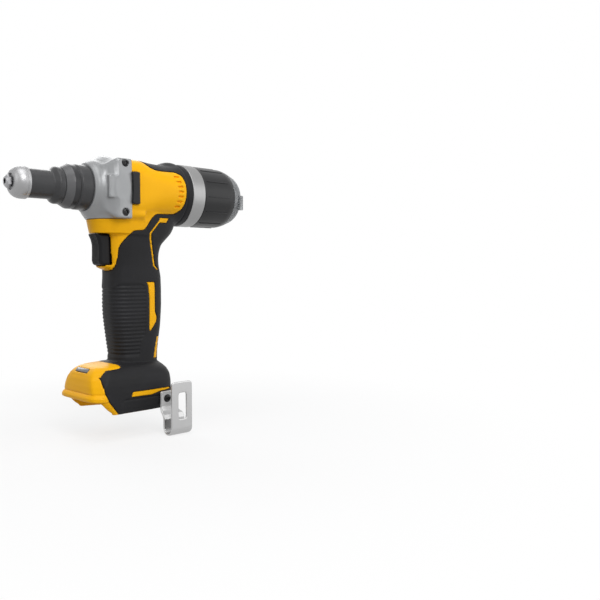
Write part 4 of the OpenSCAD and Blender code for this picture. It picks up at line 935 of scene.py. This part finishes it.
# Rear band: the rubber lip that ends the overmould in front of the ring.
# Moulded in one with the overmould, with rounded edges.
band = turned("rear_lip", [
    (175.6, 28.6, 0), (175.6, 31.6, 0.4), (177.4, 32.5, 1.0), (181.4, 32.6, 0.7), (182.2, 31.9, 0.3),
    (182.2, 28.6, 0)])
dress(band, black_rubber, "housing", "black_rubber", "rear_band")

# Rear ring: a silver collar that the collector locks into.
# Turned in aluminium with a fine brushed face and small chamfers.
ring_alloy = turned_metal("ring_alloy", (0.31, 0.31, 0.31), gloss=0.42, spread=0.24, rings=1100, depth=0.3)
ring = turned("lock_ring", [
    (182.3, 28.6, 0), (182.3, 32.4, 0.2), (182.8, 32.9, 0.2), (197.2, 32.9, 0.3), (197.9, 32.2, 0.3),
    (197.9, 28.6, 0)], segments=160)
dress(ring, ring_alloy, "housing", "cast_alloy", "rear_ring")

# Collector cup: the black cup that catches spent mandrels and twists off by its bayonet.
# Moulded in black nylon; thin raised ribs run along it for the hand.
cup_nylon = grained(
    "cup_nylon", (0.013, 0.013, 0.014), shade=(0.017, 0.017, 0.018),
    gloss=0.34, spread=0.12, pebble=2200, depth=0.18, level=0.3)
cup = turned("mandrel_cup", [
    (198.3, 26.6, 0), (198.3, 31.6, 0.3), (199.0, 32.2, 0.4), (233.5, 32.2, 2.5), (238.8, 30.8, 1.0),
    (239.4, 30.2, 0.3), (239.4, 26.6, 0)], segments=160)
dress(cup, cup_nylon, "collector", "black_plastic", "collector_cup")


def bar_mesh(name, low, high, bevel):
    """A bevelled bar between two corners, in millimetres."""
    mesh = bpy.data.meshes.new(name)
    work = bmesh.new()
    bmesh.ops.create_cube(work, size=1)
    for v in work.verts:
        v.co = Vector([(lo + hi) / 2 + c * (hi - lo) for c, lo, hi in zip(v.co, low, high)]) * MM
    bmesh.ops.bevel(work, geom=work.edges[:], offset=bevel * MM, segments=3, affect="EDGES", profile=0.5)
    work.to_mesh(mesh)
    work.free()
    return put_in_scene(name, mesh)


rib_count, rib_first = 12, math.radians(3)
ring_tree, g_in, g_out = instance_tree("ribs_round_cup", [
    ("Count", "NodeSocketInt", rib_count), ("First", "NodeSocketFloat", 0.0)])
nodes, links = ring_tree.nodes, ring_tree.links
spots = nodes.new("GeometryNodePoints")
links.new(g_in.outputs["Count"], spots.inputs["Count"])
order = nodes.new("GeometryNodeInputIndex")
turn_each = math_node(nodes, links, "DIVIDE", 2 * math.pi, g_in.outputs["Count"])
angle = math_node(nodes, links, "MULTIPLY_ADD", order.outputs["Index"], turn_each, g_in.outputs["First"])
about = nodes.new("ShaderNodeCombineXYZ")
links.new(angle, about.inputs["X"])
close_tree(ring_tree, g_in, g_out, spots.outputs["Points"], about.outputs["Vector"])
one_rib = bar_mesh("one_cup_rib", (202, -0.55, 31.2), (231, 0.55, 32.75), 0.3)
cup_ribs = grown("cup_ribs", ring_tree, one_rib, cup_nylon, {"Count": rib_count, "First": rib_first})
dress(cup_ribs, cup_nylon, "collector", "black_plastic")

# Collector end: a smoky clear cap on the cup, so that the mandrels can be seen.
# Moulded in polycarbonate in steps, with a thumb tab at its rim.
clear_end, nodes, links, bsdf = node_material("smoky_clear")
bsdf.inputs["Base Color"].default_value = (0.36, 0.37, 0.38, 1)
bsdf.inputs["Transmission Weight"].default_value = 0.65
bsdf.inputs["IOR"].default_value = 1.5
haze = group_node(nodes, moulded_grain, Pebble=140, Gloss=0.17, Spread=0.03)
links.new(haze.outputs["Roughness"], bsdf.inputs["Roughness"])
bump_from(nodes, links, bsdf, haze.outputs["Height"], 0.01)
end = turned("clear_cap", [
    (236.0, 26.4, 0), (239.5, 26.4, 0), (239.5, 30.3, 0.3), (241.6, 30.1, 0.4), (242.3, 28.9, 0.2),
    (245.6, 28.5, 0.4), (246.4, 27.3, 0.2), (249.4, 26.9, 0.4), (250.2, 25.8, 0.2), (252.0, 25.2, 0.8),
    (252.7, 23.6, 0.4), (252.7, 0.05, 0), (250.8, 0.05, 0), (250.8, 23.4, 0.6), (248.4, 24.8, 0.5),
    (236.0, 24.8, 0)])
dress(end, clear_end, "collector", "clear_plastic", "collector_end")
tab = bar_mesh("thumb_tab", (247.4, -28.4, -13), (252.9, -24.6, 3), 0.8)
smooth_by_angle(tab.data)
dress(tab, clear_end, "collector", "clear_plastic")

# Trigger: the finger lever, a black nylon moulding that slides into the grip.
# Its front is hollowed for the finger, with rounded edges and fine grooves down it.
trigger_spans = [(81, 113.5), (-10, 10), (-76.5, -42)]
trigger_steps = (0.5, 0.5, 0.5)
x, y, z = grid(trigger_spans, trigger_steps)
lever = outline([
    (83.2, -43.8), (86.0, -49.5), (87.3, -55), (87.2, -63), (86.9, -70), (88.4, -74), (92, -75.0),
    (99.3, -74.8), (99.3, -68), (99.3, -43.8)], fillet=0.8)
lever_half, groove_pitch, groove_deep, groove_back, groove_half = 8.9, 2.4, 0.45, 91, 8
lever = soft_max(lever, np.abs(y) - lever_half, 3.0)
grooves = groove_deep * (0.5 + 0.5 * np.cos(2 * math.pi * y / groove_pitch))
lever = lever + grooves * fade(groove_back - x, 3) * np.clip(1 - np.abs(y) / groove_half, 0, 1) ** 0.3
stem_z, stem_radius, stem_front, stem_back = -58, 2.9, 96, 111.4
stem = np.sqrt(y * y + (z - stem_z) ** 2) - stem_radius
stem = np.maximum(stem, np.maximum(stem_front - x, x - stem_back))
lever = np.minimum(lever, stem)
trigger_nylon = grained(
    "trigger_nylon", (0.010, 0.010, 0.011), shade=(0.014, 0.014, 0.015),
    gloss=0.34, spread=0.14, pebble=2300, depth=0.2, level=0.12)
trigger_piece = skin_mesh("finger_lever", lever, trigger_spans, trigger_steps)
dress(trigger_piece, trigger_nylon, "trigger", "black_plastic", "trigger")

# Work light: a small smoky window over the lamp, let into the sloping front of the foot.
# Moulded in clear plastic with rounded edges, and held in a seat between the shells.
lamp_window = bar_mesh("light_window", (-2.1, -11, -2.6), (2.1, 11, 0.7), 0.6)
smooth_by_angle(lamp_window.data)
to_foot = Matrix.Translation((lens_x * MM, 0, lens_z * MM)) @ Matrix.Rotation(-lens_tilt, 4, "Y")
lamp_window.data.transform(to_foot)
lens_finish = grained(
    "light_window", (0.13, 0.135, 0.145), shade=(0.17, 0.175, 0.185),
    gloss=0.16, spread=0.08, pebble=700, depth=0.08, level=0.6)
dress(lamp_window, lens_finish, "housing", "clear_plastic", "led_lens")

# Belt hook: a steel strip bent into a J beside the foot, with a long slot in its outer leg.
# Cut and bent from 2 mm sheet, satin polished, edges broken.
hook_spans = [(132, 163), (-59, -35), (-246, -186)]
hook_steps = (0.5, 0.4, 0.5)
x, y, z = grid(hook_spans, hook_steps)
# The middle line of the strip in (y, z): down from the screw, out, round the bend and up the outer leg
bend_y, bend_z, bend_radius, bend_steps = -49.65, -235.4, 6.65, 12
run = [(-37.3, -200.6), (-37.3, -216.0), (-38.6, -220.4), (-41.6, -224.0), (-43.0, -228.0), (-43.0, bend_z)]
for k in range(1, bend_steps + 1):
    a = math.pi * k / bend_steps
    run.append((bend_y + bend_radius * math.cos(a), bend_z - bend_radius * math.sin(a)))
run.append((-56.3, -189.4))
strip = np.full(np.broadcast_shapes(y.shape, z.shape), 1e9, np.float32)
for (ya, za), (yb, zb) in zip(run, run[1:]):
    ey, ez = yb - ya, zb - za
    t = np.clip(((y - ya) * ey + (z - za) * ez) / (ey * ey + ez * ez), 0, 1)
    strip = np.minimum(strip, (y - ya - ey * t) ** 2 + (z - za - ez * t) ** 2)
half_sheet, half_strip, hook_middle, between_legs = 1.0, 12.4, 148.0, -50
hook = soft_max(np.sqrt(strip) - half_sheet, np.abs(x - hook_middle) - half_strip, 0.8)
outer_leg = outline([(135.6, -189.4), (160.4, -189.4), (160.4, -260), (135.6, -260)], fillet=4.5)
hook = soft_max(hook, np.where(y < between_legs, outer_leg, -FAR), 0.8)
inner_leg = outline([
    (135.6, -200.5), (149.6, -200.5), (149.6, -214), (160.4, -224), (160.4, -260), (133.8, -260),
    (133.8, -218), (135.6, -212)], fillet=2.2)
hook = soft_max(hook, np.where(y > between_legs, inner_leg, -FAR), 0.8)
slot = outline([(144.0, -200.6), (153.4, -200.6), (153.4, -226.8), (144.0, -226.8)], fillet=2.6)
hook = soft_max(hook, -np.maximum(slot, y - between_legs), 0.6)
bolt_hole_radius, inner_leg_out = 2.3, -42
bolt_hole = np.sqrt((x - hook_bolt_x) ** 2 + (z - hook_bolt_z) ** 2) - bolt_hole_radius
hook = soft_max(hook, -np.maximum(bolt_hole, inner_leg_out - y), 0.4)
hook_steel = turned_metal("hook_steel", (0.47, 0.47, 0.47), gloss=0.34, spread=0.2, rings=1300, depth=0.1)
hook_piece = skin_mesh("belt_hook_strip", hook, hook_spans, hook_steps)
dress(hook_piece, hook_steel, "housing", "polished_steel", "belt_hook")

# Hook screw: a black button screw with a hexagon socket, into a brass insert in the foot.
# Turned and blackened; it can go to the other side with the hook.
hook_face = -38.3
to_hook = Matrix.Translation((hook_bolt_x * MM, hook_face * MM, hook_bolt_z * MM))
to_side = to_hook @ Matrix.Rotation(math.radians(90), 4, "Z")
hook_bolt = turned("hook_bolt", [
    (-2.6, 1.7, 0.1), (-2.6, 2.4, 0.3), (-1.8, 3.6, 0.8), (0, 4, 0.2), (0, 2.2, 0), (9, 2.2, 0.3),
    (9, 0.05, 0), (-1.2, 0.05, 0), (-1.2, 1.7, 0)], segments=48, hexagon=(-1.1, 1.5), place=to_side)
dress(hook_bolt, screw_black, "housing", "black_steel", "hook_screw")

# Inner works: screws, gears, bearings, motor and board, which carry on from the solids as they are.
# Each takes the finish of what it is made of: ground steel, bronze, brass, copper, magnet, nylon
# or glass fibre board.
ground_steel = turned_metal(
    "ground_steel", (0.52, 0.52, 0.53),
    gloss=0.3, spread=0.14, rings=1700, depth=0.1)
gear_alloy = grained(
    "sleeve_alloy", (0.45, 0.46, 0.47), shade=(0.4, 0.4, 0.41),
    gloss=0.4, spread=0.14, pebble=1900, depth=0.2, metallic=0.85)
bush_bronze = turned_metal(
    "bush_bronze", (0.48, 0.30, 0.12),
    gloss=0.34, spread=0.12, rings=1500, depth=0.1)
thread_brass = turned_metal(
    "thread_brass", (0.62, 0.44, 0.16),
    gloss=0.3, spread=0.12, rings=1500, depth=0.1)
coil_copper = turned_metal("coil_copper", (0.58, 0.26, 0.13), gloss=0.36, spread=0.2, rings=1900, depth=0.4)
dark_magnet = grained(
    "dark_magnet", (0.10, 0.10, 0.105), shade=(0.13, 0.13, 0.135),
    gloss=0.4, spread=0.16, pebble=2400, depth=0.2, metallic=0.6)
black_nylon = grained(
    "black_nylon", (0.018, 0.018, 0.019), shade=(0.024, 0.024, 0.025),
    gloss=0.45, spread=0.14, pebble=2200, depth=0.25, level=0.4)
board_green = grained(
    "board_green", (0.012, 0.10, 0.035), shade=(0.010, 0.08, 0.03),
    gloss=0.35, spread=0.12, pebble=900, depth=0.15)
finish_of = {
    "steel": ground_steel, "polished_steel": ground_steel, "black_steel": screw_black,
    "cast_alloy": gear_alloy, "bronze": bush_bronze, "brass": thread_brass, "copper": coil_copper,
    "magnet": dark_magnet,
    "yellow_plastic": yellow_nylon, "black_rubber": black_rubber, "black_plastic": black_nylon,
    "clear_plastic": clear_end, "circuit_board": board_green}
for row in frame["record"]["subparts"]:
    for place in bpy.data.objects[row["node"]].material_slots:
        place.material = finish_of[row["material_slot"]]
